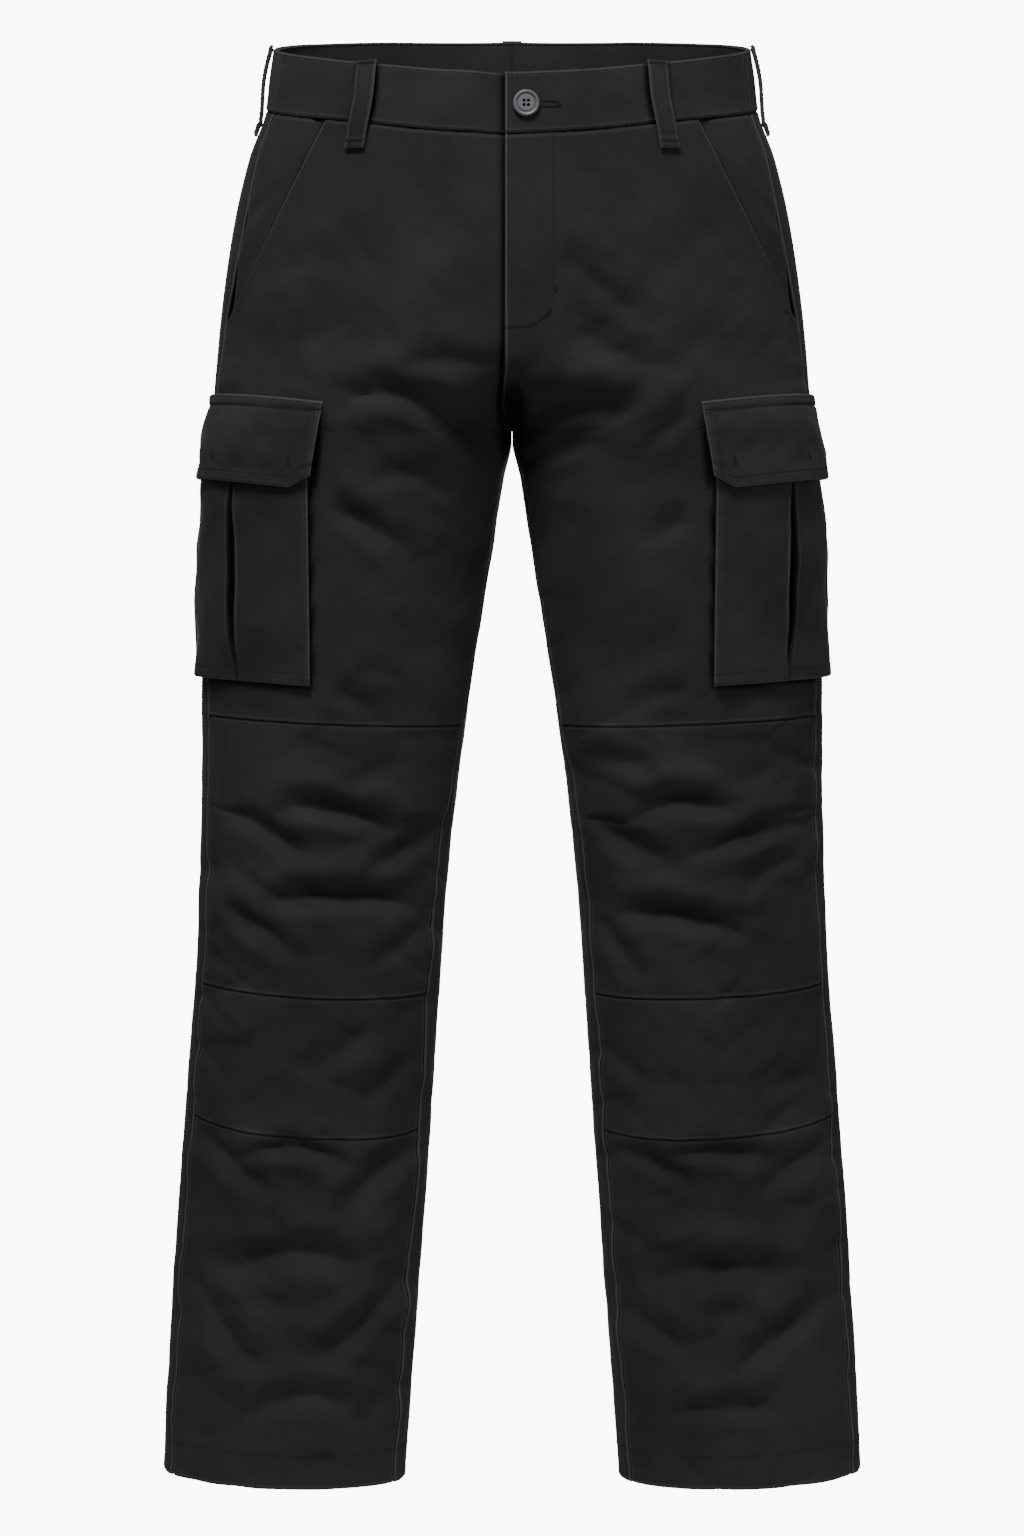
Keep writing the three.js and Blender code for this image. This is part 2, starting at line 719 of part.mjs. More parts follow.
// A closed geometry as a solid that can be cut
function solid(library, geometry) {
  geometry.deleteAttribute('normal');
  geometry.deleteAttribute('uv');
  const merged = mergeVertices(geometry);
  return new library.Manifold(new library.Mesh({
    numProp: 3,
    vertProperties: merged.attributes.position.array,
    triVerts: Uint32Array.from(merged.index.array),
  }));
}

// Four-hole button with a raised rim, lying on the left end of the band
async function button() {
  const library = await loadManifold();
  library.setup();
  const { radius, height, rim, dish } = BUTTON;
  const inside = radius - rim;
  const hollow = new THREE.CylinderGeometry(inside, inside - BUTTON.taper, height, BUTTON.segments);
  const disc = new THREE.CylinderGeometry(radius - BUTTON.taper, radius, height, BUTTON.segments);
  let body = solid(library, disc).subtract(solid(library, hollow.translate(0, height - dish, 0)));
  for (let quarter = 0; quarter < 4; quarter += 1) {
    const turn = Math.PI * (0.25 + 0.5 * quarter);
    const hole = new THREE.CylinderGeometry(BUTTON.hole, BUTTON.hole, 3 * height, BUTTON.drillSegments);
    hole.translate(BUTTON.holes * Math.cos(turn), 0, BUTTON.holes * Math.sin(turn));
    body = body.subtract(solid(library, hole));
  }
  const mesh = body.getMesh();
  const geometry = new THREE.BufferGeometry();
  geometry.setAttribute('position', new THREE.Float32BufferAttribute(mesh.vertProperties, mesh.numProp));
  geometry.setIndex(Array.from(mesh.triVerts));
  const angle = angleAt(BUTTON.x, BUTTON.z, 'front');
  const normal = baseNormal(angle, BUTTON.z);
  const lift = BAND_PROUD + BUTTON.lay + height / 2;
  const seat = basePoint(angle, BUTTON.z).addScaledVector(normal, lift);
  geometry.applyQuaternion(new THREE.Quaternion().setFromUnitVectors(new THREE.Vector3(0, 1, 0), normal));
  geometry.translate(seat.x, seat.y, seat.z);
  geometry.computeVertexNormals();
  return geometry;
}

const TWILL = { color: 0x232326, roughness: 0.92, metalness: 0 };
const PLASTIC = { color: 0x48494c, roughness: 0.45, metalness: 0 };
const pants = new THREE.Group();
pants.name = 'cargo_pants';

function add(name, geometry, look = TWILL) {
  const mesh = new THREE.Mesh(geometry, new THREE.MeshStandardMaterial(look));
  mesh.name = name;
  pants.add(mesh);
}

const SIDES = { left: 1, right: -1 };
for (const [word, side] of Object.entries(SIDES)) {
  add(`waistband_${word}`, bandFront(side));
  add(`front_thigh_${word}`, frontThigh(side));
  add(`knee_panel_${word}`, legPanel(kneeRows, cloth)(side));
  add(`shin_band_${word}`, legPanel(shinRows, cloth)(side));
  add(`lower_front_${word}`, legPanel(lowerRows, hemWall)(side));
  add(`back_leg_upper_${word}`, backLeg(thighRows)(side));
  add(`back_leg_lower_${word}`, backLeg(backLowerRows)(side));
  add(`hip_facing_${word}`, hipFacing(side));
  add(`cargo_gusset_${word}`, cargoGusset(side));
  add(`cargo_pocket_${word}`, cargoPocket(side));
  add(`cargo_flap_${word}`, cargoFlap(side));
  add(`loop_front_${word}`, beltLoop(LOOP_FRONT_ANGLE, side));
  add(`loop_side_${word}`, beltLoop(LOOP_SIDE_ANGLE, side));
}
add('waistband_back', bandBack());
add('loop_back', beltLoop(LOOP_BACK_ANGLE, 1));
add('button', await button(), PLASTIC);

export default pants;
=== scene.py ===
import math

import bmesh
import bpy
import numpy as np
from mathutils import Matrix, Vector


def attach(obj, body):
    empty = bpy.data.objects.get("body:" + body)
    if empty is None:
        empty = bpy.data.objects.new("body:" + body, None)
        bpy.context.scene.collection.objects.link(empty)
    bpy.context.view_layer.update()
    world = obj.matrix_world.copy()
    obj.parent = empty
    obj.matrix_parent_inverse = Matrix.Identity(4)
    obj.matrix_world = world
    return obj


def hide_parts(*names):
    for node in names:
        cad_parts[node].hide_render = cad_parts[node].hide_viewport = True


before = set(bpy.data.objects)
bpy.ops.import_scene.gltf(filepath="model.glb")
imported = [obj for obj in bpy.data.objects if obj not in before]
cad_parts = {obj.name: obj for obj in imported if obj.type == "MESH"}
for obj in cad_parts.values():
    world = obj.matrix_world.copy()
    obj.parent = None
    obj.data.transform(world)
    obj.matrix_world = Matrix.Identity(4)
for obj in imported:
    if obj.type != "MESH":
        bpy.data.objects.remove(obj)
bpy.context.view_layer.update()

bl_info = {
    "name": "Cargo Pants",
    "version": (1, 0, 0),
    "blender": (4, 5, 0),
    "location": "View3D > Sidebar > Pants",
    "description": "Builds filled-out twill cargo pants, piece by piece, as a maker cuts and sews them",
    "category": "Add Mesh",
}

# Shapes are worked out in millimetres and placed in metres
MM = 0.001

# Camera, and the three lights: place, aim, size and power
LENS, SENSOR, EYE, PITCH = 73.57, 36, (0, -2.35, -0.3705), math.radians(90 - 3.4)
LIGHTS = (
    ("key_light", (-0.4, -1.6, 2.1), (0, 0, -0.5), 0.8, 135),
    ("fill_light", (1.6, -2.2, -0.2), (0, 0, -0.6), 1.6, 20),
    ("back_light", (0.4, 2.2, 1.6), (0, 0, -0.4), 1.4, 10),
)
FLOOR_HALF, FLOOR_LEVEL = 0.7, -1.32

# Walls and seams
SEAM_GAP = 0.3
BAND_PROUD = 0.6
UNDER_STEP = 2.8
HEM_HEIGHT = 28

# Heights of the cut
CROTCH = -261
FLY_BOTTOM = -194
LAP = 5
UNDERLAP = 10
SEAT_LAP = 2

# Slash pocket, from the waistband seam to the side seam
SLASH_TOP_X, SLASH_TOP_Z = 136, -42
SLASH_LOW_X, SLASH_LOW_Z = 209, -180
FACING_UNDER = 12

# Cargo pocket and flap on the outer thigh
POCKET_EDGE, POCKET_TOP, POCKET_LOW = 146, -262, -446
POCKET_SPAN, POCKET_RISE, POCKET_PROUD = math.radians(116), 0.06, 3.8
PLEATS = (0.295, 0.705)
POCKET_THICK, GUSSET_THICK = 1.6, 2.4
GUSSET_INSET, GUSSET_WIDTH, GUSSET_LIFT = 2.5, 14, 0.7
FLAP_EDGE, FLAP_LEAN, FLAP_TOP, FLAP_LOW = 135, 8, -242, -304
FLAP_CHAMFER, FLAP_SPAN, FLAP_RISE = 10, math.radians(122), 0.11
FLAP_ATTACH = 8

# Colour of paler rubbed edges and painted highlights, and of painted deep shade, as shares of the cloth's own
WORN_AND_HIGHLIGHT_SHARE, PAINTED_SHADE_SHARE = 4.2, 0.1

# Seam allowances on the inside: half their width, and how far they lie under the surface
ALLOWANCE, ALLOWANCE_DEPTH, ALLOWANCE_THICK = 7, 3.2, 0.8

# Belt loops, button and buttonhole
LOOP_WIDTH, LOOP_THICK = 15, 2
LOOP_BELOW, LOOP_STAND, LOOP_LAY, LOOP_OVER = 19, 3.3, 0.5, 1.2
LOOP_FRONT, LOOP_SIDE, LOOP_BACK = math.radians(55), math.radians(2), math.radians(-90)
BUTTON_X, BUTTON_Z, BUTTON_LAY = 10, -32, 0.5
BUTTONHOLE_END = 35.5

# Fly stitching: straight down, then round to the middle
FLY_STITCH, FLY_BEND, FLY_TURN, FLY_DROP = 29, 5, -168, 22

# Distances of the two rows of topstitch from a seam, and of a single row from a turned edge
STITCH_ROWS = (1.9, 7.6)
EDGE_STITCH = 2.0

LEFT, RIGHT = 1, -1
SIDES = (("left", LEFT), ("right", RIGHT))


def table(columns, rows):
    """The rows as a dict of named columns."""
    names = columns.split()
    return {name: np.array([row[i] for row in rows], float) for i, name in enumerate(names)}


# Ring of one leg at each height: reach of its outer and inner edge in X, depth to front and back
RINGS = table("z outer inner front back", [
    (50, 172.3, 0, 96, 94),
    (23.5, 175.4, 0, 97, 97),
    (0, 179, 0, 98, 101),
    (-22, 181.5, 0, 99, 105),
    (-58.5, 194.7, 0, 101, 113),
    (-110, 206.8, 0, 103, 124),
    (-176, 216.4, 0, 104, 131),
    (-227, 221.1, 0, 99, 127),
    (-261, 223.5, 0, 92, 114),
    (-295, 225.5, 7, 86, 100),
    (-354.5, 229, 16, 80, 88),
    (-414, 231.5, 25.4, 74, 78),
    (-474, 232.5, 34.5, 69, 70),
    (-534, 232.8, 42, 66, 65),
    (-594, 235, 48.5, 62, 60),
    (-655, 237.5, 53, 60, 58),
    (-715, 242.4, 57, 58, 57),
    (-776, 247.3, 61.2, 56, 56),
    (-837, 252.2, 65.4, 55, 55),
    (-898, 256.4, 70, 54, 54),
    (-960, 260.6, 74.7, 53, 53),
    (-1050, 265.2, 81.2, 51, 51),
])

# How far the two halves have parted into legs: 0 is one body, 1 is the crotch
PARTING = table("z front back", [
    (50, 0, 0),
    (-100, 0, 0),
    (-150, 0.02, 0.06),
    (-194, 0.1, 0.2),
    (-212, 0.28, 0.42),
    (-230, 0.55, 0.64),
    (-248, 0.84, 0.87),
    (CROTCH, 1, 1),
])

# Angle round the ring of the side seam and the inseam: 0 is the outer edge, 90 the front
SEAMS = table("z side inseam", [
    (50, 17, 180),
    (-50, 18, 180),
    (-95, 19, 180),
    (-150, 17, 180),
    (-190, 14.5, 180),
    (-261, 16, 180),
    (-300, 18, 178),
    (-480, 22, 165),
    (-600, 24, 156),
    (-1050, 24, 156),
])

# Waistband edges round the waist
WAIST = table("angle top seam", [
    (-90, 43.8, 0),
    (-60, 41.5, -2),
    (-30, 34.5, -9.5),
    (0, 23.5, -22),
    (30, 10.5, -33.5),
    (55, 0, -42.7),
    (75, -7, -50.5),
    (90, -9.5, -53.5),
])
WAIST_SIDE = -22

# Cross seams of the leg: height, and how it tips to the outside and dips to the front
KNEE_TOP = (-472.5, 4, 2.5)
KNEE_LOW = (-671, 4.2, 6)
SHIN = (-770, 6, 11)
HEM = (-1045.2, 3.2, 0)

# Folds: three places along each trough, its depth and its half width
FOLD_COLUMNS = ("x0", "z0", "x1", "z1", "x2", "z2", "depth", "width")
FOLDS_RIGHT = (
    (127, -249, 84, -238, 16, -273, 8, 10),
    (5, -220, 44, -213, 80, -220, 4, 8),
    (163, -151, 145, -142, 120, -142, 2.5, 8),
    (140, -316, 113, -326, 66, -360, 6, 9),
    (98, -298, 66, -296, 45, -312, 5, 9),
    (94, -378, 84, -381, 74, -377, 3, 8),
    (153, -456, 131, -449, 102, -466, 4, 7),
    (113, -444, 95, -438, 79, -449, 4, 7),
    (176, -542, 129, -536, 87, -558, 9, 9),
    (210, -539, 183, -552, 148, -578, 6, 8),
    (108, -582, 82, -572, 57, -549, 6, 8),
    (120, -521, 100, -512, 74, -502, 4, 8),
    (217, -574, 206, -578, 199, -589, 4, 7),
    (187, -611, 130, -600, 69, -609, 9, 9),
    (217, -611, 188, -624, 155, -652, 6, 8),
    (100, -653, 78, -636, 59, -624, 5, 8),
    (112, -753, 88, -740, 66, -718, 5, 9),
    (152, -735, 126, -715, 101, -699, 5, 9),
    (204, -796, 156, -789, 107, -806, 6, 7),
    (232, -782, 206, -800, 177, -827, 6, 9),
    (132, -838, 101, -812, 69, -792, 6, 9),
    (223, -886, 156, -867, 103, -882, 8, 11),
    (186, -900, 159, -910, 138, -900, 4, 8),
    (240, -886, 210, -932, 177, -956, 6, 10),
    (149, -953, 118, -928, 77, -886, 7, 10),
    (206, -991, 157, -976, 120, -982, 6, 9),
    (120, -998, 101, -988, 84, -978, 5, 9),
)
FOLDS_LEFT = (
    (13, -251, 49, -246, 88, -249, 8, 10),
    (9, -290, 34, -276, 63, -269, 5, 8),
    (9, -217, 20, -219, 32, -218, 3, 8),
    (86, -221, 100, -229, 117, -236, 3, 8),
    (34, -130, 63, -162, 106, -191, 4, 10),
    (45, -191, 92, -212, 128, -220, 4, 9),
    (163, -144, 181, -142, 199, -158, 2.5, 8),
    (135, -251, 113, -262, 92, -290, 5, 9),
    (92, -344, 128, -326, 140, -316, 5, 9),
    (79, -466, 107, -454, 139, -451, 4, 7),
    (161, -450, 183, -446, 197, -452, 3, 7),
    (53, -502, 86, -502, 108, -514, 5, 9),
    (161, -521, 170, -516, 209, -507, 3, 8),
    (86, -545, 125, -531, 163, -542, 9, 9),
    (56, -543, 86, -563, 119, -578, 6, 8),
    (132, -572, 167, -558, 207, -552, 6, 8),
    (168, -602, 192, -581, 217, -574, 5, 8),
    (73, -616, 123, -616, 173, -630, 9, 9),
    (63, -618, 79, -640, 98, -666, 6, 8),
    (182, -642, 172, -650, 161, -653, 3, 8),
    (67, -715, 87, -732, 105, -751, 5, 9),
    (179, -747, 204, -740, 226, -732, 5, 9),
    (115, -797, 157, -791, 199, -803, 6, 7),
    (79, -792, 109, -804, 138, -821, 6, 9),
    (180, -831, 205, -806, 232, -792, 6, 9),
    (98, -898, 153, -877, 211, -892, 8, 11),
    (143, -908, 156, -912, 170, -911, 4, 8),
    (83, -908, 113, -931, 139, -946, 6, 10),
    (165, -956, 202, -929, 240, -898, 7, 10),
    (115, -992, 157, -983, 202, -989, 6, 9),
    (226, -982, 235, -979, 244, -977, 3, 8),
)
FOLDS_BACK = (
    (20, -250, 62, -262, 112, -252, 5, 11),
    (26, -150, 66, -176, 110, -182, 3, 14),
    (14, -222, 50, -226, 90, -214, 4, 10),
    (34, -300, 80, -312, 150, -304, 5, 13),
    (40, -352, 85, -372, 140, -378, 5, 12),
    (30, -410, 60, -426, 96, -430, 4, 10),
    (60, -512, 120, -500, 190, -516, 6, 10),
    (56, -556, 115, -572, 200, -552, 8, 11),
    (100, -590, 140, -580, 176, -586, 5, 9),
    (66, -612, 130, -598, 214, -618, 8, 11),
    (72, -656, 128, -668, 196, -650, 6, 10),
    (78, -742, 130, -726, 190, -748, 5, 10),
    (84, -802, 150, -818, 226, -798, 7, 11),
    (150, -842, 180, -836, 214, -848, 4, 9),
    (90, -884, 152, -868, 222, -890, 7, 12),
    (98, -944, 164, -958, 236, -934, 6, 11),
    (106, -1000, 158, -990, 214, -1002, 5, 9),
)
FOLDS = {LEFT: FOLDS_LEFT, RIGHT: FOLDS_RIGHT}

# Short darts at the knee, drawn in on each side of the knee panel
KNEE_DARTS = (
    (226, -536, 208, -539, 190, -542, 2.2, 2.6),
    (85, -547, 68, -546, 50, -545, 2.2, 2.6),
)

# Stitching down the two sides of the knee patch, from its top corners
KNEE_SIDES = (
    ((211, -478), (212, -505), (213, -533)),
    ((48, -482), (51, -510), (54, -540)),
)


def smooth(low, high, value):
    """0 below low, 1 above high, and a soft step between."""
    t = np.clip((value - low) / (high - low), 0, 1)
    return t * t * (3 - 2 * t)


def lerp(a, b, t):
    return a + (b - a) * t


def along(rows, across, column, place):
    """Monotone cubic through one column of a table."""
    x, y = rows[across], rows[column]
    if x[0] > x[1]:
        x, y = x[::-1], y[::-1]
    place = np.clip(place, x[0], x[-1])
    i = np.clip(np.searchsorted(x, place) - 1, 0, len(x) - 2)
    steps = np.diff(x)
    secant = np.diff(y) / steps
    before, after = secant[:-1], secant[1:]
    total = np.where(before * after > 0, before + after, 1)
    inner = np.where(before * after > 0, 2 * before * after / total, 0)
    slope = np.concatenate([secant[:1], inner, secant[-1:]])
    step = steps[i]
    t = (place - x[i]) / step
    rise = 3 * t * t - 2 * t * t * t
    bend = step * slope[i] * t * (1 - t) ** 2 - step * slope[i + 1] * t * t * (1 - t)
    return lerp(y[i], y[i + 1], rise) + bend


def ring(z, face):
    """Centre, half width and depth of a leg's ring."""
    outer = along(RINGS, "z", "outer", z)
    inner = along(RINGS, "z", "inner", z)
    parting = along(PARTING, "z", face, z)
    above = z > CROTCH
    half = np.where(above, outer / (1 + parting), (outer - inner) / 2)
    centre = np.where(above, parting * half, (outer + inner) / 2)
    return centre, half, along(RINGS, "z", face, z)


def ring_at(angle, z):
    front = np.sin(angle) >= 0
    return tuple(np.where(front, f, b) for f, b in zip(ring(z, "front"), ring(z, "back")))


def base_point(angle, z):
    """Point of the unfolded leg; past the middle, the front lap follows the other half."""
    angle, z = np.broadcast_arrays(np.asarray(angle, float), np.asarray(z, float))
    centre, half, depth = ring_at(angle, z)
    x = centre + half * np.cos(angle)
    reach = np.where((z > CROTCH) & (x < 0), (-x - centre) / half, np.cos(angle))
    y = depth * np.sqrt(np.maximum(0, 1 - reach * reach))
    return np.stack([x, np.where(np.sin(angle) >= 0, -y, y), z], -1)


def unit(vectors):
    return vectors / np.maximum(np.linalg.norm(vectors, axis=-1, keepdims=True), 1e-9)


def base_normal(angle, z):
    turn, drop = 0.002, 0.5
    round_way = base_point(angle + turn, z) - base_point(angle - turn, z)
    up_way = base_point(angle, z + drop) - base_point(angle, z - drop)
    return unit(np.cross(up_way, round_way))


def angle_at(x, z, face):
    """Angle where the ring reaches a distance from the middle plane."""
    centre, half, _ = ring(np.asarray(z, float), face)
    angle = np.arccos(np.clip((x - centre) / half, -1, 1))
    return angle if face == "front" else -angle


def shifted(angle, z, length):
    """Angle moved by a length along the ring."""
    _, half, depth = ring_at(angle, z)
    return angle + length / np.hypot(half * np.sin(angle), depth * np.cos(angle))


def slash_at(z):
    return lerp(SLASH_TOP_X, SLASH_LOW_X, (z - SLASH_TOP_Z) / (SLASH_LOW_Z - SLASH_TOP_Z))


def side_seam(z):
    return np.radians(along(SEAMS, "z", "side", z))


def inseam(z):
    return np.radians(along(SEAMS, "z", "inseam", z))


def waist_edge(angle, column):
    turn = np.degrees(angle)
    turn = np.where(turn > 90, 180 - turn, np.where(turn < -90, -180 - turn, turn))
    return along(WAIST, "angle", column, turn)


def cross_seam(seam, angle):
    z, out, dip = seam
    return z + out * np.cos(angle) - dip * np.sin(angle)


def fold_depth(row, x, z):
    """Trough with a soft ridge on each side, from the distance to a curve through three places."""
    fold = dict(zip(FOLD_COLUMNS, row))
    steps = 10
    reach = 6 * fold["width"]
    xs, zs = [fold[k] for k in ("x0", "x1", "x2")], [fold[k] for k in ("z0", "z1", "z2")]
    near = (x > min(xs) - reach) & (x < max(xs) + reach) & (z > min(zs) - reach) & (z < max(zs) + reach)
    result = np.zeros_like(x)
    if not near.any():
        return result
    px, pz = x[near], z[near]
    t = np.linspace(0, 1, steps + 1)
    curve = []
    for a, b, c in (xs, zs):
        control = 2 * b - (a + c) / 2
        curve.append((1 - t) ** 2 * a + 2 * t * (1 - t) * control + t * t * c)
    nearest = np.full_like(px, np.inf)
    where = np.zeros_like(px)
    above = np.ones_like(px)
    for i in range(steps):
        dx, dz = curve[0][i + 1] - curve[0][i], curve[1][i + 1] - curve[1][i]
        s = np.clip(((px - curve[0][i]) * dx + (pz - curve[1][i]) * dz) / (dx * dx + dz * dz), 0, 1)
        gap_x, gap_z = px - curve[0][i] - s * dx, pz - curve[1][i] - s * dz
        distance = np.hypot(gap_x, gap_z)
        better = distance < nearest
        nearest = np.where(better, distance, nearest)
        where = np.where(better, (i + s) / steps, where)
        above = np.where(better, np.sign(gap_z), above)
    off = above * nearest / fold["width"]
    taper = np.maximum(np.sin(np.pi * where), 0) ** 0.6
    bank = np.where(off > 0, 1.2, 0.7)
    trough = -np.exp(-1.2 * np.abs(off / bank) ** 1.6)
    ridge = 0.5 * np.exp(-(((off - 2.2) / 1.3) ** 2)) + 0.35 * np.exp(-(((off + 1.4) / 0.9) ** 2))
    long_share = min(1, math.dist((xs[0], zs[0]), (xs[2], zs[2])) / 80)
    result[near] = fold["depth"] * long_share * taper * (trough + ridge)
    return result


def fold_share(x, z):
    """Folds fade out under the waist pieces, the fly, the slash pocket and the cargo pocket."""
    waist = 1 - smooth(-125, -80, z)
    fly = np.maximum(smooth(30, 48, x), 1 - smooth(FLY_BOTTOM - 28, FLY_BOTTOM, z))
    edge = slash_at(z)
    slash = np.where(z > SLASH_LOW_Z - 30, 1 - smooth(edge - 34, edge - 12, x), 1)
    in_pocket = smooth(-462, -448, z) * (1 - smooth(-236, -224, z))
    pocket = 1 - in_pocket * smooth(118, 132, x)
    return waist * fly * slash * pocket


def ripple(place, seed, lengths=(7.7, 11.3, 18.1)):
    """Uneven waves along a line, the same each time."""
    total = 0
    for i, length in enumerate(lengths):
        total = total + np.sin(2 * np.pi * place / length + 2.4 * seed + 1.7 * i) / (1 + 0.4 * i)
    return total / len(lengths)


def undulation(x, z, seed):
    """Low, broad unevenness of cloth that hangs."""
    total = 0
    for i, (length, lean) in enumerate(((113, 0.4), (83, -0.3), (57, 0.7), (41, -0.6))):
        warp = 9 * np.sin(x / 31 + seed + i)
        wave = np.sin(2 * np.pi * (z + lean * x + warp) / length + 1.9 * seed + 2.1 * i)
        total = total + wave * np.sin(2 * np.pi * (x - 0.4 * z) / (1.9 * length) + 0.7 * seed + i) * length
    return total / 83


def lattice(x, z, seed):
    """Shallow slanting creases that cross and break off."""
    total = 0
    for i, (length, lean) in enumerate(((47, 0.55), (41, -0.6), (64, 0.25))):
        phase = np.pi * (z + lean * x + 6 * np.sin(x / 23 + seed + i)) / length + seed + 1.1 * i
        where = np.sin(2 * np.pi * (x - 0.8 * lean * z) / (3.1 * length) + 1.3 * seed + 2 * i)
        total = total - np.exp(-((np.sin(phase) / 0.34) ** 2)) * smooth(-0.3, 0.9, where)
    return total


def folds(angle, point, normal, side, settings):
    """How far the cloth stands off the unfolded leg."""
    x, z = np.maximum(point[..., 0], 0), point[..., 2]
    share = fold_share(x, z)
    facing = smooth(0.1, 0.5, np.abs(normal[..., 1]))
    drift_x = 1.8 * np.sin(z / 11.5 + side) + 1.0 * np.sin((x + z) / 7.3)
    drift_z = 1.2 * np.sin(x / 12.5 + 2 * side) + 0.8 * np.sin((x - 1.4 * z) / 6.1)
    front = np.sin(angle) >= 0
    total = np.zeros_like(z)
    for rows, there in ((FOLDS[side] + KNEE_DARTS, front), (FOLDS_BACK, ~front)):
        for row in rows:
            total = total + np.where(there, fold_depth(row, x + drift_x, z + drift_z), 0)
    seed = side + 2.0 * (np.sin(angle) < 0)
    broad = undulation(point[..., 0] + 0.5 * point[..., 1], z, seed)
    below_waist = 1 - smooth(-110, -60, z)
    slanting = lattice(x, z, seed) * (0.35 + 0.65 * (1 - smooth(-500, -440, z)))
    broad = (settings.undulation * broad + settings.lattice * slanting) * below_waist * (0.25 + 0.75 * facing)
    hollow = -6 * np.exp(-((x / 26) ** 2)) * (1 - smooth(-246, -206, z)) * smooth(-284, -250, z) * front
    return share * (settings.fold_strength * facing * total + broad) + hollow * facing


def spread(length, step, fine=(0.6, 1.3, 2.2, 3.2, 4.3, 5.4, 6.4, 7.2, 8, 8.9, 10.2), extra=()):
    """Shares along a length, close together near both ends and within the extra spans."""
    count = max(2, round((length - 2 * fine[-1]) / step))
    places = [0, *fine[:-1], *np.linspace(fine[-1], length - fine[-1], count + 1), length]
    places += [length - place for place in fine[:-1]]
    for start, end in extra:
        places = [place for place in places if not start - 0.4 < place < end + 0.4]
        places += list(np.linspace(start, end, max(2, round((end - start) / 0.9) + 1)))
    return np.array(sorted(places)) / length


def arcs(points, axis):
    """Length along a grid of points, from its first row."""
    steps = np.linalg.norm(np.diff(points, axis=axis), axis=-1)
    start = np.zeros_like(np.take(steps, [0], axis=axis))
    return np.concatenate([start, np.cumsum(steps, axis=axis)], axis=axis)


class Cloth:
    """A grid of surface points in millimetres, with its normals, lengths, and the wear and painted light of
    its colour: paler for wear and painted highlights, darker for painted shade.
    """

    def __init__(self, base, normal, lift, wear_and_painted_light):
        self.base = base
        self.normal = normal
        self.points = base + normal * lift[..., None]
        self.across = arcs(base, 0)
        self.down = arcs(base, 1)
        self.wear_and_painted_light = wear_and_painted_light

    def flat_size(self):
        """Width, length and area of the cut that shows."""
        sides = self.base[1:, :-1] - self.base[:-1, :-1], self.base[:-1, 1:] - self.base[:-1, :-1]
        corner = self.base[1:, 1:]
        others = self.base[1:, :-1] - corner, self.base[:-1, 1:] - corner
        area = sum(np.linalg.norm(np.cross(a, b), axis=-1).sum() / 2 for a, b in (sides, others))
        width, length = self.across[-1].max(), self.down[:, -1].max()
        return width * MM, length * MM, min(area * MM * MM, 0.999 * width * length * MM * MM)

    def line(self, edge, distance, start=0.0, end=1.0):
        """Points and normals at a distance from one edge: u0, u1, v0 or v1."""
        points, normals, lengths = self.points, self.normal, self.across
        if edge[0] == "v":
            points, normals, lengths = (a.swapaxes(0, 1) for a in (points, normals, self.down))
        count = points.shape[1]
        found, facing = [], []
        for j in range(round(start * (count - 1)), round(end * (count - 1)) + 1):
            place = lengths[:, j]
            at = distance if edge[1] == "0" else place[-1] - distance
            found.append([np.interp(at, place, points[:, j, k]) for k in range(3)])
            facing.append([np.interp(at, place, normals[:, j, k]) for k in range(3)])
        return np.array(found), unit(np.array(facing))


def seam_lift(distance, place, turned, seed, settings, puckered=1.0):
    """Rolled edge, the turned allowance, its stitch grooves, and puckers that die away from the seam."""
    rolled = -1.0 * np.exp(-((distance / 0.9) ** 2))
    allowance = turned * 0.6 * (1 - smooth(8, 9.4, distance))
    stitch_line = sum(np.exp(-(((distance - at) / 0.9) ** 2)) for at in STITCH_ROWS)
    pucker = puckered * settings.pucker * np.exp(-((distance / 10) ** 2)) * ripple(place, seed)
    return rolled + allowance - 0.35 * turned * stitch_line + pucker


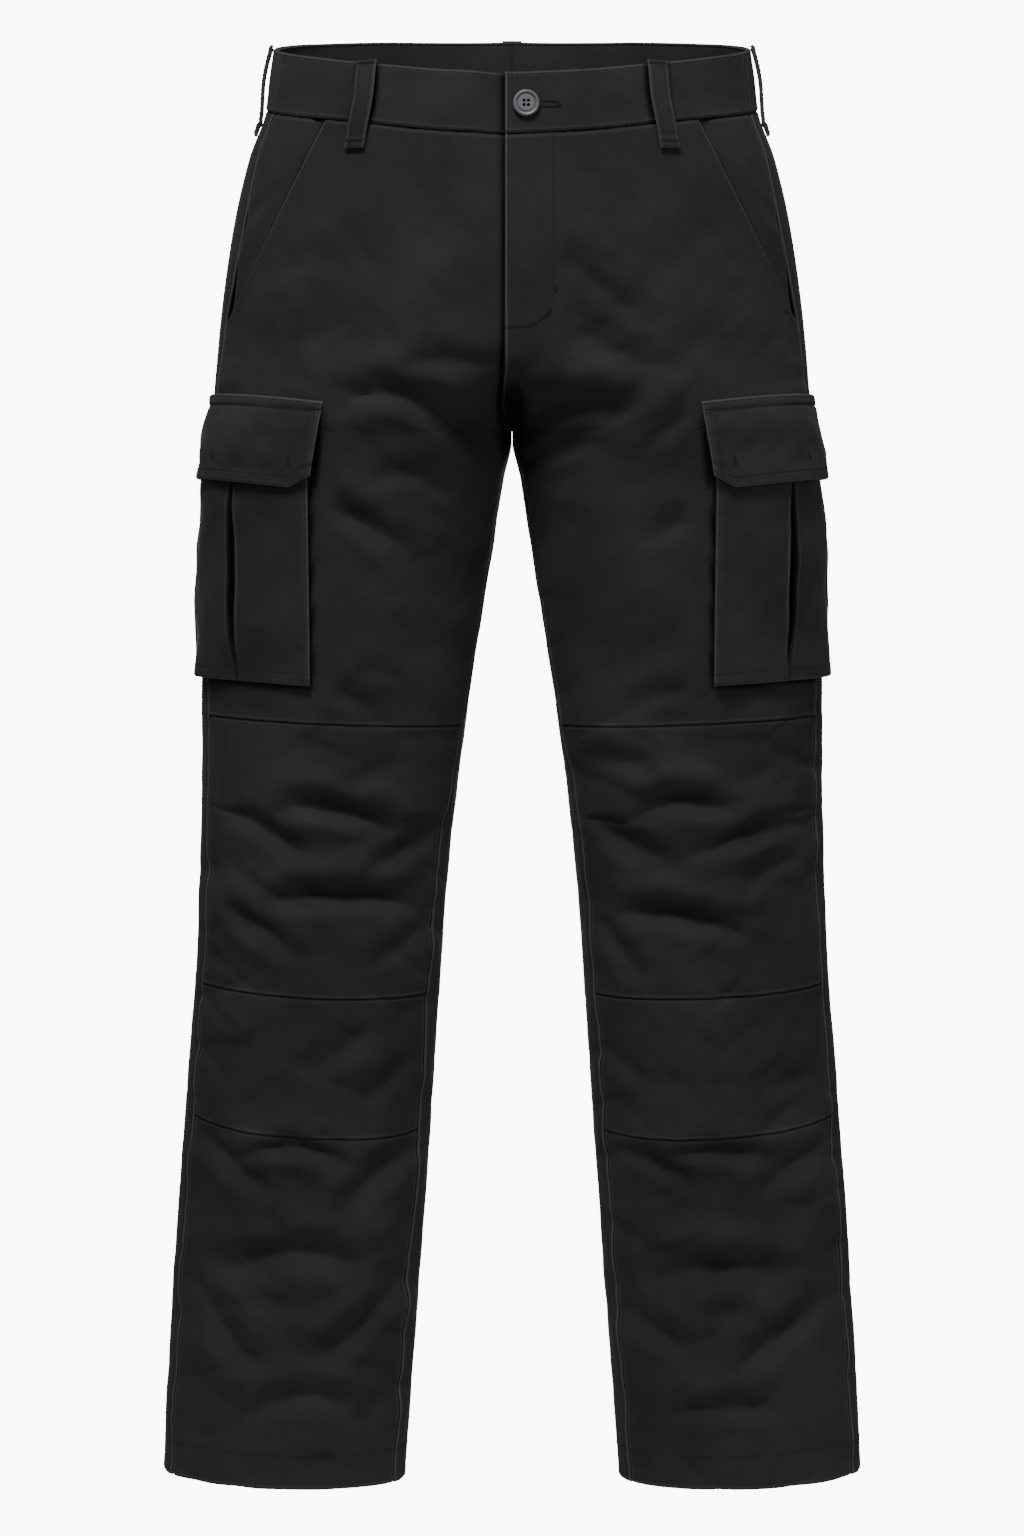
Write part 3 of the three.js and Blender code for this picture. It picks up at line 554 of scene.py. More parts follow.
def panel(
    settings, side, top, low, left, right, size, lift=None, lapped=None, turned=(),
    seams="u0 u1 v0 v1", seed=1, extra=((), ()), shade=None,
):
    """Cloth between two edge angles and two heights, each a half seam gap short of its seams."""
    step = settings.grid_step
    u = spread(size[0], step, extra=extra[0])[:, None]
    v = spread(size[1], step, extra=extra[1])[None, :]
    angle = 0 * u + 0 * v
    z = lerp(top(angle), low(angle), v) if callable(low) else top(v, angle)
    for _ in range(8):
        start, end = left(z), right(z)
        trim = np.sign(end - start) * SEAM_GAP / 2
        angle = lerp(shifted(start, z, trim), shifted(end, z, -trim), u)
        z = lerp(top(angle) - SEAM_GAP / 2, low(angle) + SEAM_GAP / 2, v) if callable(low) else top(v, angle)
    base, normal = base_point(angle, z), base_normal(angle, z)
    out = folds(angle, base, normal, side, settings)
    if lift is not None:
        out = out + lift(base[..., 0], z)
    across, down = arcs(base, 0), arcs(base, 1)
    distances = {"u0": across, "u1": across[-1:] - across, "v0": down, "v1": down[:, -1:] - down}
    # Slightly paler on the fold ridges
    wear_and_painted_light = smooth(1.2, 4, out) * 0.1
    for i, edge in enumerate(seams.split()):
        place = down if edge[0] == "u" else across
        share = 0.35 if edge[0] == "u" else 1.0
        off = distances[edge]
        out = out + seam_lift(off, place, 1.0 if edge in turned else 0.0, seed + i, settings, share)
        # A turned edge: a paler line along its rolled edge, for its wear and a painted highlight
        if edge in turned:
            wear_and_painted_light = wear_and_painted_light + np.exp(-(((off - 0.8) / 0.9) ** 2))
        else:
            # A sewn seam: a painted highlight line beside it, and a line of painted shade in the seam itself
            lit = 0.3 if edge == "v0" else 0.45
            wear_and_painted_light = wear_and_painted_light + lit * np.exp(-(((off - 2) / 0.9) ** 2)) - 0.35 * np.exp(-((off / 0.7) ** 2))
    # Painted shade, from the shade function, darkens the colour
    if shade is not None:
        wear_and_painted_light = wear_and_painted_light - shade(base[..., 0], z)
    cloth = Cloth(base, normal, out, wear_and_painted_light)
    if lapped is not None:
        clear = np.where(lapped(z), -1e3, SEAM_GAP / 2)
        cloth.points[..., 0] = np.maximum(cloth.points[..., 0], clear)
    return cloth


def mirrored(cloth, side):
    """The same cloth on its own side of the body."""
    for grid in (cloth.base, cloth.points, cloth.normal):
        grid[..., 0] *= side
    return cloth


def both_halves(half):
    """One cloth across the middle, from the half that starts there."""
    both = []
    for grid in (half.base, half.points, half.normal):
        grid[0, :, 0] = 0
        other = grid[1:][::-1] * np.array([-1, 1, 1])
        both.append(np.concatenate([other, grid]))
    cloth = Cloth(both[0], both[2], 0 * both[0][..., 0], np.concatenate([half.wear_and_painted_light[1:][::-1], half.wear_and_painted_light]))
    cloth.points = both[1]
    return cloth


def new_object(name, mesh):
    piece = bpy.data.objects.new(name, mesh)
    bpy.context.scene.collection.objects.link(piece)
    return piece


def baked(piece):
    """The mesh of a piece with its modifiers applied, which are then removed."""
    bpy.context.view_layer.update()
    done = bpy.data.meshes.new_from_object(piece.evaluated_get(bpy.context.evaluated_depsgraph_get()))
    piece.modifiers.clear()
    return done


def sheet_object(name, cloth, thickness, material):
    """A cloth grid as a mesh: a plane grid, moved onto its surface, with grain, and with its wear and painted
    light and shade as an attribute.
    """
    rows, columns = cloth.points.shape[:2]
    shape = bmesh.new()
    bmesh.ops.create_grid(shape, x_segments=rows - 1, y_segments=columns - 1, size=1)
    mesh = bpy.data.meshes.new(name)
    shape.to_mesh(mesh)
    shape.free()
    flat = np.empty(len(mesh.vertices) * 3)
    mesh.vertices.foreach_get("co", flat)
    flat = flat.reshape(-1, 3)
    i = np.rint((flat[:, 0] + 1) / 2 * (rows - 1)).astype(int)
    j = np.rint((flat[:, 1] + 1) / 2 * (columns - 1)).astype(int)
    mesh.vertices.foreach_set("co", (cloth.points[i, j] * MM).ravel())
    mesh.update()
    wanted = cloth.normal[i, j]
    found = np.empty(len(mesh.vertices) * 3)
    mesh.vertices.foreach_get("normal", found)
    if (found.reshape(-1, 3) * wanted).sum() < 0:
        mesh.flip_normals()
    corner = np.empty(len(mesh.loops), int)
    mesh.loops.foreach_get("vertex_index", corner)
    grain = mesh.uv_layers.new(name="grain")
    places = np.stack([cloth.across[i, j], cloth.down[i, j]], -1)[corner] * MM
    grain.data.foreach_set("uv", places.ravel())
    # Wear and painted light of the colour: above zero paler, below zero painted shade
    wear_and_painted_light = mesh.attributes.new("wear_and_painted_light", "FLOAT", "POINT")
    wear_and_painted_light.data.foreach_set("value", cloth.wear_and_painted_light[i, j])
    mesh.shade_smooth()
    mesh.materials.append(material)
    piece = new_object(name, mesh)
    wall = piece.modifiers.new("Wall", "SOLIDIFY")
    wall.thickness = thickness * MM
    wall.offset = -1
    piece.data = baked(piece)
    piece.data.set_sharp_from_angle(angle=math.radians(50))
    return piece


def cloth_piece(name, cloth, thickness, nodes, slot):
    """A sheet that rides on the garment and stands for its solids, and works out the size of its cut."""
    piece = sheet_object(name, cloth, thickness, leg_twill() if slot == "leg_twill" else band_twill())
    width, length, area = cloth.flat_size()
    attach(piece, "root")
    for node_name in (nodes,) if isinstance(nodes, str) else nodes:
        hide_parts(node_name)


# Stitches

def resample(points, normals, pitch):
    """Places at an even pitch along a line, with its directions and normals."""
    length = arcs(points, 0)
    count = int(length[-1] / pitch)
    at = (np.arange(count) + 0.5) * length[-1] / max(count, 1)
    place = np.stack([np.interp(at, length, points[:, k]) for k in range(3)], -1)
    facing = unit(np.stack([np.interp(at, length, normals[:, k]) for k in range(3)], -1))
    nudge = 0.4
    ahead = np.stack([np.interp(at + nudge, length, points[:, k]) for k in range(3)], -1)
    behind = np.stack([np.interp(at - nudge, length, points[:, k]) for k in range(3)], -1)
    return place, unit(ahead - behind), facing


class Thread:
    """Stitches gathered along lines, made into one mesh."""

    def __init__(self, settings):
        self.settings = settings
        self.parts = []

    def row(self, points, normals, pitch=None, length=None, rise=0.1):
        pitch = pitch or self.settings.stitch_pitch / MM
        place, way, facing = resample(points, normals, pitch)
        half = np.full(len(place), (length or 0.8 * pitch) / 2)
        self.parts.append((place + facing * rise, way, facing, half))

    def bars(self, points, normals, pitch, length, rise=0.25):
        """Close threads laid across a line, as on a bartack or a buttonhole."""
        place, way, facing = resample(points, normals, pitch)
        lean = unit(np.cross(facing, way) + 0.18 * way)
        self.parts.append((place + facing * rise, lean, facing, np.full(len(place), length / 2)))

    def bartack(self, centre, way, facing, length=9, width=2.2):
        ends = np.array([centre - way * length / 2, centre + way * length / 2])
        self.bars(ends, np.array([facing, facing]), 0.75, width)

    def build(self, name, material):
        centre, way, facing, half = (np.concatenate(columns) for columns in zip(*self.parts))
        radius = self.settings.thread_radius / MM
        shape = bmesh.new()
        bmesh.ops.create_uvsphere(shape, u_segments=4, v_segments=4, radius=1)
        verts = np.array([v.co for v in shape.verts])
        faces = [[v.index for v in face.verts] for face in shape.faces]
        shape.free()
        side = np.cross(facing, way)
        ends = np.sign(verts[:, 2]) * np.abs(verts[:, 2]) ** 0.5
        placed = (
            centre[:, None]
            + way[:, None] * (ends[None, :, None] * half[:, None, None])
            + side[:, None] * verts[None, :, :1] * radius
            + facing[:, None] * verts[None, :, 1:2] * radius
        )
        count = len(verts)
        mesh = bpy.data.meshes.new(name)
        every = [[k + n * count for k in face] for n in range(len(centre)) for face in faces]
        mesh.from_pydata((placed.reshape(-1, 3) * MM).tolist(), [], every)
        mesh.update()
        shape = bmesh.new()
        shape.from_mesh(mesh)
        bmesh.ops.recalc_face_normals(shape, faces=shape.faces)
        shape.to_mesh(mesh)
        shape.free()
        mesh.shade_smooth()
        mesh.materials.append(material)
        piece = new_object(name, mesh)
        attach(piece, "root")
        return piece


THREADS = {}


def threads(name):
    """The thread of one part of the garment, shared by the operators."""
    if name not in THREADS:
        THREADS[name] = Thread(bpy.context.scene.pants)
    return THREADS[name]


# Materials

def nodes_of(material):
    material.use_nodes = True
    tree = material.node_tree
    shader = next(n for n in tree.nodes if n.type == "BSDF_PRINCIPLED")
    return tree, shader


def link(tree, source, target):
    tree.links.new(source, target)


def node(tree, kind, **values):
    made = tree.nodes.new(kind)
    for name, value in values.items():
        if name[0].isupper():
            made.inputs[name.replace("_", " ")].default_value = value
        else:
            setattr(made, name, value)
    return made


def ramp(tree, source, dark, pale, start=0.0, end=1.0):
    """A two-colour ramp over a texture."""
    made = node(tree, "ShaderNodeValToRGB")
    for element, shade, place in zip(made.color_ramp.elements, (dark, pale), (start, end)):
        element.color = (*shade, 1)
        element.position = place
    link(tree, source, made.inputs["Fac"])
    return made.outputs["Color"]


def times(colour, factor):
    return [c * factor for c in colour]


def twill(name, colour, settings):
    """Matt twill: a fine diagonal, slubs, soft crumple, paler ridges and edges for wear and painted
    highlights, and painted shade towards near black.
    """
    found = bpy.data.materials.get(name)
    if found:
        return found
    material = bpy.data.materials.new(name)
    tree, shader = nodes_of(material)
    grain = node(tree, "ShaderNodeUVMap", uv_map="grain")
    place = node(tree, "ShaderNodeTexCoord")
    wale = node(tree, "ShaderNodeTexWave", bands_direction="DIAGONAL", Scale=settings.twill_lines)
    link(tree, grain.outputs["UV"], wale.inputs["Vector"])
    slub = node(tree, "ShaderNodeTexNoise", Scale=900.0, Detail=3.0)
    link(tree, grain.outputs["UV"], slub.inputs["Vector"])
    crumple = node(tree, "ShaderNodeTexNoise", Scale=70.0, Detail=4.0, Roughness=0.55)
    link(tree, place.outputs["Object"], crumple.inputs["Vector"])
    mottle = node(tree, "ShaderNodeTexNoise", Scale=14.0, Detail=5.0, Roughness=0.6)
    link(tree, place.outputs["Object"], mottle.inputs["Vector"])
    # The wear attribute carries real wear and painted light: above zero the colour goes paler, for wear and
    # painted highlights; below zero it goes towards near black, as painted shade.
    wear_and_painted_light = node(tree, "ShaderNodeAttribute", attribute_name="wear_and_painted_light")
    shades = ramp(tree, mottle.outputs["Fac"], times(colour, 0.82), times(colour, 1.3), 0.3, 0.72)
    worn_and_highlight = node(tree, "ShaderNodeMix", data_type="RGBA")
    worn_and_highlight.inputs["B"].default_value = (*times(colour, WORN_AND_HIGHLIGHT_SHARE), 1)
    wear_and_highlight_factor = node(tree, "ShaderNodeMath", operation="MULTIPLY")
    link(tree, wear_and_painted_light.outputs["Fac"], wear_and_highlight_factor.inputs[0])
    link(tree, slub.outputs["Fac"], wear_and_highlight_factor.inputs[1])
    link(tree, wear_and_highlight_factor.outputs[0], worn_and_highlight.inputs["Factor"])
    link(tree, shades, worn_and_highlight.inputs["A"])
    # Painted shade: how far the colour goes towards near black
    shade = node(tree, "ShaderNodeMath", operation="MULTIPLY", use_clamp=True)
    link(tree, wear_and_painted_light.outputs["Fac"], shade.inputs[0])
    shade.inputs[1].default_value = -1
    painted_shade_mix = node(tree, "ShaderNodeMix", data_type="RGBA")
    painted_shade_mix.inputs["B"].default_value = (*times(colour, PAINTED_SHADE_SHARE), 1)
    link(tree, shade.outputs[0], painted_shade_mix.inputs["Factor"])
    link(tree, worn_and_highlight.outputs["Result"], painted_shade_mix.inputs["A"])
    link(tree, painted_shade_mix.outputs["Result"], shader.inputs["Base Color"])
    soft = node(tree, "ShaderNodeBump", Strength=0.5, Distance=0.0016)
    link(tree, crumple.outputs["Fac"], soft.inputs["Height"])
    lines = node(tree, "ShaderNodeBump", Strength=0.35, Distance=0.00012)
    link(tree, wale.outputs["Fac"], lines.inputs["Height"])
    link(tree, soft.outputs["Normal"], lines.inputs["Normal"])
    fuzz = node(tree, "ShaderNodeBump", Strength=0.3, Distance=0.0002)
    link(tree, slub.outputs["Fac"], fuzz.inputs["Height"])
    link(tree, lines.outputs["Normal"], fuzz.inputs["Normal"])
    link(tree, fuzz.outputs["Normal"], shader.inputs["Normal"])
    shader.inputs["Roughness"].default_value = 0.88
    shader.inputs["Specular IOR Level"].default_value = 0.04
    shader.inputs["Sheen Weight"].default_value = settings.sheen
    shader.inputs["Sheen Roughness"].default_value = 0.45
    shader.inputs["Sheen Tint"].default_value = (0.9, 0.9, 0.92, 1)
    return material


def leg_twill():
    settings = bpy.context.scene.pants
    return twill("black_twill", settings.cloth_colour, settings)


def band_twill():
    settings = bpy.context.scene.pants
    return twill("doubled_twill", times(settings.cloth_colour, 1.08), settings)


def thread_material():
    found = bpy.data.materials.get("sewing_thread")
    if found:
        return found
    material = bpy.data.materials.new("sewing_thread")
    tree, shader = nodes_of(material)
    place = node(tree, "ShaderNodeTexCoord")
    twist = node(tree, "ShaderNodeTexNoise", Scale=1500.0, Detail=2.0)
    link(tree, place.outputs["Object"], twist.inputs["Vector"])
    colour = bpy.context.scene.pants.thread_colour
    shades = ramp(tree, twist.outputs["Fac"], times(colour, 0.7), times(colour, 1.3))
    link(tree, shades, shader.inputs["Base Color"])
    shader.inputs["Roughness"].default_value = 0.9
    shader.inputs["Specular IOR Level"].default_value = 0.1
    return material


def button_material():
    material = bpy.data.materials.new("grey_plastic")
    tree, shader = nodes_of(material)
    place = node(tree, "ShaderNodeTexCoord")
    cloud = node(tree, "ShaderNodeTexNoise", Scale=220.0, Detail=3.0)
    link(tree, place.outputs["Object"], cloud.inputs["Vector"])
    colour = bpy.context.scene.pants.button_colour
    shades = ramp(tree, cloud.outputs["Fac"], times(colour, 0.85), times(colour, 1.15))
    link(tree, shades, shader.inputs["Base Color"])
    shader.inputs["Roughness"].default_value = 0.42
    return material


# Heights that follow the seams

def thigh_height(v, angle):
    """From the waistband seam to the knee seam; level past the fly bottom."""
    z = lerp(WAIST_SIDE, KNEE_TOP[0], v) + 0 * angle
    upper = np.clip((z - FLY_BOTTOM) / (WAIST_SIDE - FLY_BOTTOM), 0, 1)
    lower = np.clip((-448 - z) / (-448 - KNEE_TOP[0]), 0, 1)
    z = z + (waist_edge(angle, "seam") - SEAM_GAP / 2 - WAIST_SIDE) * upper
    return z + (cross_seam(KNEE_TOP, angle) + SEAM_GAP / 2 - KNEE_TOP[0]) * lower


def back_height(v, angle):
    """From the waistband seam to the hem; level in between."""
    z = lerp(WAIST_SIDE, HEM[0], v) + 0 * angle
    upper = np.clip((z - FLY_BOTTOM) / (WAIST_SIDE - FLY_BOTTOM), 0, 1)
    lower = np.clip((-1000 - z) / (-1000 - HEM[0]), 0, 1)
    z = z + (waist_edge(angle, "seam") - SEAM_GAP / 2 - WAIST_SIDE) * upper
    return z + (cross_seam(HEM, angle) - HEM[0]) * lower


def seam_height(seam):
    return lambda angle: cross_seam(seam, angle)


def front_edge(z):
    return np.where(z > SLASH_LOW_Z, angle_at(slash_at(z), z, "front"), side_seam(z))


def middle(side, face, reach):
    """The left half laps over the right half down to the crotch."""
    def edge(z):
        above = angle_at(reach * smooth(CROTCH + 1, CROTCH + 14, z), z, face)
        return np.where(z <= CROTCH, inseam(z) - (0 if face == "front" else 2 * np.pi), above)
    return edge


def under_step(x, z):
    """The right half dips under the left one, most of all beside its edge."""
    edge = 2.2 * np.exp(-(((x - LAP - 1) / 3.5) ** 2))
    return -(UNDER_STEP * (1 - smooth(12, 30, x)) + edge) * smooth(CROTCH + 2, CROTCH + 24, z)


def lap_shade(x, z):
    """Shade in the wedge at the crotch, and along the front edges of the cargo pocket and its flap."""
    wedge = np.exp(-((x / (3 + 6 * smooth(-218, -250, z))) ** 6)) * smooth(-222, -240, z)
    low = POCKET_LOW + POCKET_RISE * (x - POCKET_EDGE)
    beside = smooth(-3.2, -1.4, x - POCKET_EDGE) * smooth(-4.5, -1.8, z - low) * smooth(6, 0, z - POCKET_TOP)
    lean = FLAP_EDGE + FLAP_LEAN * np.clip((FLAP_TOP - z) / (FLAP_TOP - FLAP_LOW), 0, 1)
    flap = smooth(-4.5, -1.8, x - lean) * smooth(FLAP_TOP - 6, FLAP_TOP - 18, z)
    flap = flap * smooth(FLAP_LOW - 2, FLAP_LOW + 4, z)
    return wedge * smooth(-306, -276, z) + 0.85 * np.maximum(beside, flap)


def fly_shade(x, z):
    """A dark line of painted shade along the fly stitching where it curves to the middle, added to the
    painted shade of lap_shade.
    """
    reach = np.clip((x - FLY_BEND) / (FLY_STITCH - FLY_BEND), 0, 1)
    level = FLY_TURN - FLY_DROP * np.sqrt(1 - reach * reach)
    # Painted shade along the curved stitching
    stitch_line = 0.55 * np.exp(-(((z - level) / 1.1) ** 2)) * smooth(FLY_STITCH, FLY_STITCH - 1, x)
    return lap_shade(x, z) + stitch_line


def under_shade(x, z):
    """The right half is in shade just beside the lap edge."""
    return lap_shade(x, z) + np.exp(-(((x - LAP - 1) / 1.7) ** 2)) * smooth(CROTCH, CROTCH + 6, z)


def facing_creases(x, z, side):
    """Slanting puckers of the hip facing, drawn towards the side seam."""
    wave = ripple(z + 0.9 * x + 3 * side, side, (29, 17, 43))
    return 1.3 * wave * smooth(-60, -95, z) * smooth(6, 16, x - slash_at(z))


def band_waves(x, z, side):
    """Uneven band: upright waves, and lengthwise ones that come and go."""
    level = ripple(z + 0.2 * x + 3 * np.sin(x / 19 + side), side, (23, 13, 37)) * smooth(10, 40, x)
    return 0.4 * ripple(x, side, (53, 31, 19)) + 0.45 * level * np.sin(x / 27 + 2 * side)


def loop_shade(x, z):
    """The band is in shade behind a front loop."""
    centre = base_point(LOOP_FRONT, z)[..., 0]
    return np.exp(-(((x - centre) / 9.2) ** 10))


def along_front(places, side, lift=0.0, count=40):
    """A line on the front of a leg through places seen from the front, folded as the cloth is."""
    settings = bpy.context.scene.pants
    places = np.array(places, float)
    length = arcs(places, 0)
    at = np.linspace(0, length[-1], count)
    x, z = (np.interp(at, length, places[:, k]) for k in range(2))
    angle = angle_at(x, z, "front")
    base, normal = base_point(angle, z), base_normal(angle, z)
    out = folds(angle, base, normal, side, settings) + lift
    points = base + normal * out[:, None]
    points[:, 0] *= side
    normal[:, 0] *= side
    return points, normal


def double_row(thread, cloth, edge, **ends):
    for distance in STITCH_ROWS:
        thread.row(*cloth.line(edge, distance, **ends))


def length_property(name, description, default, low, high):
    return bpy.props.FloatProperty(
        name=name, description=description, default=default, min=low, max=high, subtype="DISTANCE",
        unit="LENGTH", precision=5,
    )


def colour_property(name, description, default):
    return bpy.props.FloatVectorProperty(
        name=name, description=description, default=default, size=3, subtype="COLOR", min=0, max=1,
    )


class PantsSettings(bpy.types.PropertyGroup):
    """Sizes and colours of the pants."""

    cloth_thickness: length_property("Cloth", "Thickness of the leg cloth", 0.0016, 0.001, 0.003)
    band_thickness: length_property("Band", "Thickness of the two-layer waistband", 0.003, 0.001, 0.005)
    flap_thickness: length_property("Flap", "Thickness of a pocket flap", 0.0026, 0.001, 0.005)
    grid_step: bpy.props.FloatProperty(
        name="Grid step", description="Distance between points of the cloth, in millimetres", default=3.0,
        min=1.5, max=20,
    )
    fold_strength: bpy.props.FloatProperty(
        name="Folds", description="Depth of the folds, as a share of their tabled depth", default=1.05,
        min=0, max=2, subtype="FACTOR",
    )
    undulation: bpy.props.FloatProperty(
        name="Unevenness", description="Height of the broad waves between folds, in millimetres", default=0.8,
        min=0, max=4,
    )
    lattice: bpy.props.FloatProperty(
        name="Slanting creases", description="Depth of the shallow crossing creases, in millimetres",
        default=1.3, min=0, max=4,
    )
    pucker: bpy.props.FloatProperty(
        name="Puckers", description="Height of the puckers along seams, in millimetres", default=0.4,
        min=0, max=2,
    )
    stitch_pitch: length_property("Stitch", "Length of a stitch", 0.0034, 0.002, 0.006)
    thread_radius: length_property("Thread", "Radius of the sewing thread", 0.00032, 0.0001, 0.001)
    twill_lines: bpy.props.FloatProperty(
        name="Twill", description="Diagonal lines of the weave to a metre", default=320.0, min=100, max=2000,
    )
    sheen: bpy.props.FloatProperty(
        name="Sheen", description="Soft light on the nap of the cloth", default=0.02, min=0, max=1,
        subtype="FACTOR",
    )
    cloth_colour: colour_property("Cloth colour", "Colour of the twill", (0.0138, 0.0138, 0.0140))
    thread_colour: colour_property("Thread colour", "Colour of the thread", (0.0125, 0.0125, 0.0126))
    button_colour: colour_property("Button colour", "Colour of the button", (0.06, 0.061, 0.066))


class PANTS_OT_stage(bpy.types.Operator):
    """Set up the camera, the pale floor and the studio light"""

    bl_idname = "pants.stage"
    bl_label = "Stage"

    def execute(self, context):
        view = bpy.data.cameras.new("camera")
        view.lens = LENS
        view.sensor_width = SENSOR
        eye = bpy.data.objects.new("camera", view)
        eye.location = EYE
        eye.rotation_euler = (PITCH, 0, 0)
        context.scene.collection.objects.link(eye)
        context.scene.camera = eye
        floor = self.floor()
        self.surroundings()
        for name, place, aim, size, power in LIGHTS:
            self.lamp(name, place, aim, size, power)
        return {"FINISHED"}

    def surroundings(self):
        """A dim room with a bright white backdrop behind the garment."""
        world = bpy.data.worlds.new("studio")
        world.use_nodes = True
        tree = world.node_tree
        place = node(tree, "ShaderNodeTexCoord")
        split = node(tree, "ShaderNodeSeparateXYZ")
        link(tree, place.outputs["Generated"], split.inputs[0])
        behind = node(tree, "ShaderNodeMapRange", interpolation_type="SMOOTHSTEP")
        for name, value in (("From Min", 0.915), ("From Max", 0.95), ("To Min", 0.45), ("To Max", 10.0)):
            behind.inputs[name].default_value = value
        link(tree, split.outputs["Y"], behind.inputs["Value"])
        light = tree.nodes["Background"]
        light.inputs["Color"].default_value = (1, 1, 1, 1)
        link(tree, behind.outputs["Result"], light.inputs["Strength"])
        bpy.context.scene.world = world

    def floor(self):
        mesh = bpy.data.meshes.new("floor")
        shape = bmesh.new()
        bmesh.ops.create_grid(shape, x_segments=1, y_segments=1, size=FLOOR_HALF)
        bmesh.ops.translate(shape, verts=shape.verts, vec=(0, 0, FLOOR_LEVEL))
        shape.to_mesh(mesh)
        shape.free()
        material = bpy.data.materials.new("floor")
        _, shader = nodes_of(material)
        shader.inputs["Base Color"].default_value = (0.93, 0.93, 0.93, 1)
        shader.inputs["Roughness"].default_value = 0.9
        mesh.materials.append(material)
        return new_object("floor", mesh)

    def lamp(self, name, place, aim, size, power):
        light = bpy.data.lights.new(name, "AREA")
        light.size = size
        light.energy = power
        lamp = bpy.data.objects.new(name, light)
        lamp.location = place
        lamp.rotation_euler = (Vector(aim) - Vector(place)).to_track_quat("-Z", "Y").to_euler()
        bpy.context.scene.collection.objects.link(lamp)


class PANTS_OT_front_thighs(bpy.types.Operator):
    """Make the two front panels, from the waistband to the knee"""

    bl_idname = "pants.front_thighs"
    bl_label = "Front Thighs"

    def execute(self, context):
        settings = context.scene.pants
        for word, side in SIDES:
            cloth = mirrored(panel(
                settings, side, thigh_height, None, front_edge,
                middle(side, "front", -LAP if side == LEFT else -UNDERLAP), (215, 440),
                lift=None if side == LEFT else under_step, lapped=lambda z: z > CROTCH + 2,
                turned=("u0", "u1") if side == LEFT else ("u0",), seed=3 + side,
                extra=(((176, 212),), ((140, 170),)) if side == LEFT else (((198, 212),), ()),
                shade=fly_shade if side == LEFT else under_shade,
            ), side)
            thick = settings.cloth_thickness / MM
            cloth_piece(f"cloth_front_thigh_{word}", cloth, thick, f"front_thigh_{word}", "leg_twill")
            thread = threads(word)
            slash_end = (WAIST_SIDE - SLASH_LOW_Z) / (WAIST_SIDE - KNEE_TOP[0])
            thread.row(*cloth.line("u0", STITCH_ROWS[0], end=slash_end))
            if side == LEFT:
                thread.row(*cloth.line("u1", EDGE_STITCH, end=0.37))
        return {"FINISHED"}


class PANTS_OT_knees(bpy.types.Operator):
    """Make the knee panels, the shin bands and the lower fronts"""

    bl_idname = "pants.knees"
    bl_label = "Knees and Shins"

    def execute(self, context):
        settings = context.scene.pants
        lengths = (
            ("knee_panel", KNEE_TOP, KNEE_LOW, (190, 200), ((60, 78),)),
            ("shin_band", KNEE_LOW, SHIN, (185, 105), ()),
            ("lower_front", SHIN, HEM, (185, 272), ()),
        )
        for word, side in SIDES:
            thread = threads(word)
            for order, (name, top, low, size, darts) in enumerate(lengths):
                cloth = mirrored(panel(
                    settings, side, seam_height(top), seam_height(low), side_seam, inseam, size,
                    seed=order + side, extra=((), darts),
                ), side)
                thick = settings.cloth_thickness / MM
                cloth_piece(f"cloth_{name}_{word}", cloth, thick, f"{name}_{word}", "leg_twill")
                thread.row(*cloth.line("v0", STITCH_ROWS[0]))
                if name == "lower_front":
                    thread.row(*cloth.line("v1", HEM_HEIGHT - 2))
            for x0, z0, _, _, x1, z1, _, _ in KNEE_DARTS:
                thread.row(*along_front(((x0 - 4, z0 + 3), (x1 + 4, z1 + 3)), side))
            for places in KNEE_SIDES:
                thread.row(*along_front(places, side))
        return {"FINISHED"}


class PANTS_OT_backs(bpy.types.Operator):
    """Make the two back legs, in one length from the waistband to the hem"""

    bl_idname = "pants.backs"
    bl_label = "Back Legs"

    def execute(self, context):
        settings = context.scene.pants
        for word, side in SIDES:
            cloth = mirrored(panel(
                settings, side, back_height, None, side_seam,
                middle(side, "back", -SEAT_LAP if side == LEFT else 0), (260, 1040),
                lift=None if side == LEFT else lambda x, z: 0.4 * under_step(x, z),
                lapped=lambda z: z > CROTCH + 2, turned=("u0", "u1"), seed=7 + side,
            ), side)
            nodes = (f"back_leg_upper_{word}", f"back_leg_lower_{word}")
            cloth_piece(f"cloth_back_leg_{word}", cloth, settings.cloth_thickness / MM, nodes, "leg_twill")
            thread = threads(word)
            double_row(thread, cloth, "u0")
            double_row(thread, cloth, "u1", end=0.24)
            thread.row(*cloth.line("v1", HEM_HEIGHT - 2))
        return {"FINISHED"}


class PANTS_OT_hip_facings(bpy.types.Operator):
    """Make the facings behind the slash pockets"""

    bl_idname = "pants.hip_facings"
    bl_label = "Hip Facings"

    def execute(self, context):
        settings = context.scene.pants
        end_share = (WAIST_SIDE - SLASH_LOW_Z + 12) / (WAIST_SIDE - KNEE_TOP[0])
        for word, side in SIDES:
            def inner_edge(z):
                return angle_at(np.minimum(slash_at(z), SLASH_LOW_X) - FACING_UNDER, z, "front")

            def lift(x, z, side=side):
                return -UNDER_STEP * (1 - smooth(4, 16, x - slash_at(z))) + facing_creases(x, z, side)

            cloth = mirrored(panel(
                settings, side, lambda v, angle: thigh_height(v * end_share, angle), None, side_seam,
                inner_edge, (60, 160), lift=lift, seams="u0 v0", seed=5,
                shade=lambda x, z: 0.8 * np.exp(-(((x - slash_at(z) - 1) / 1.5) ** 2)),
            ), side)
            thick = settings.cloth_thickness / MM
            cloth_piece(f"cloth_hip_facing_{word}", cloth, thick, f"hip_facing_{word}", "leg_twill")
        return {"FINISHED"}


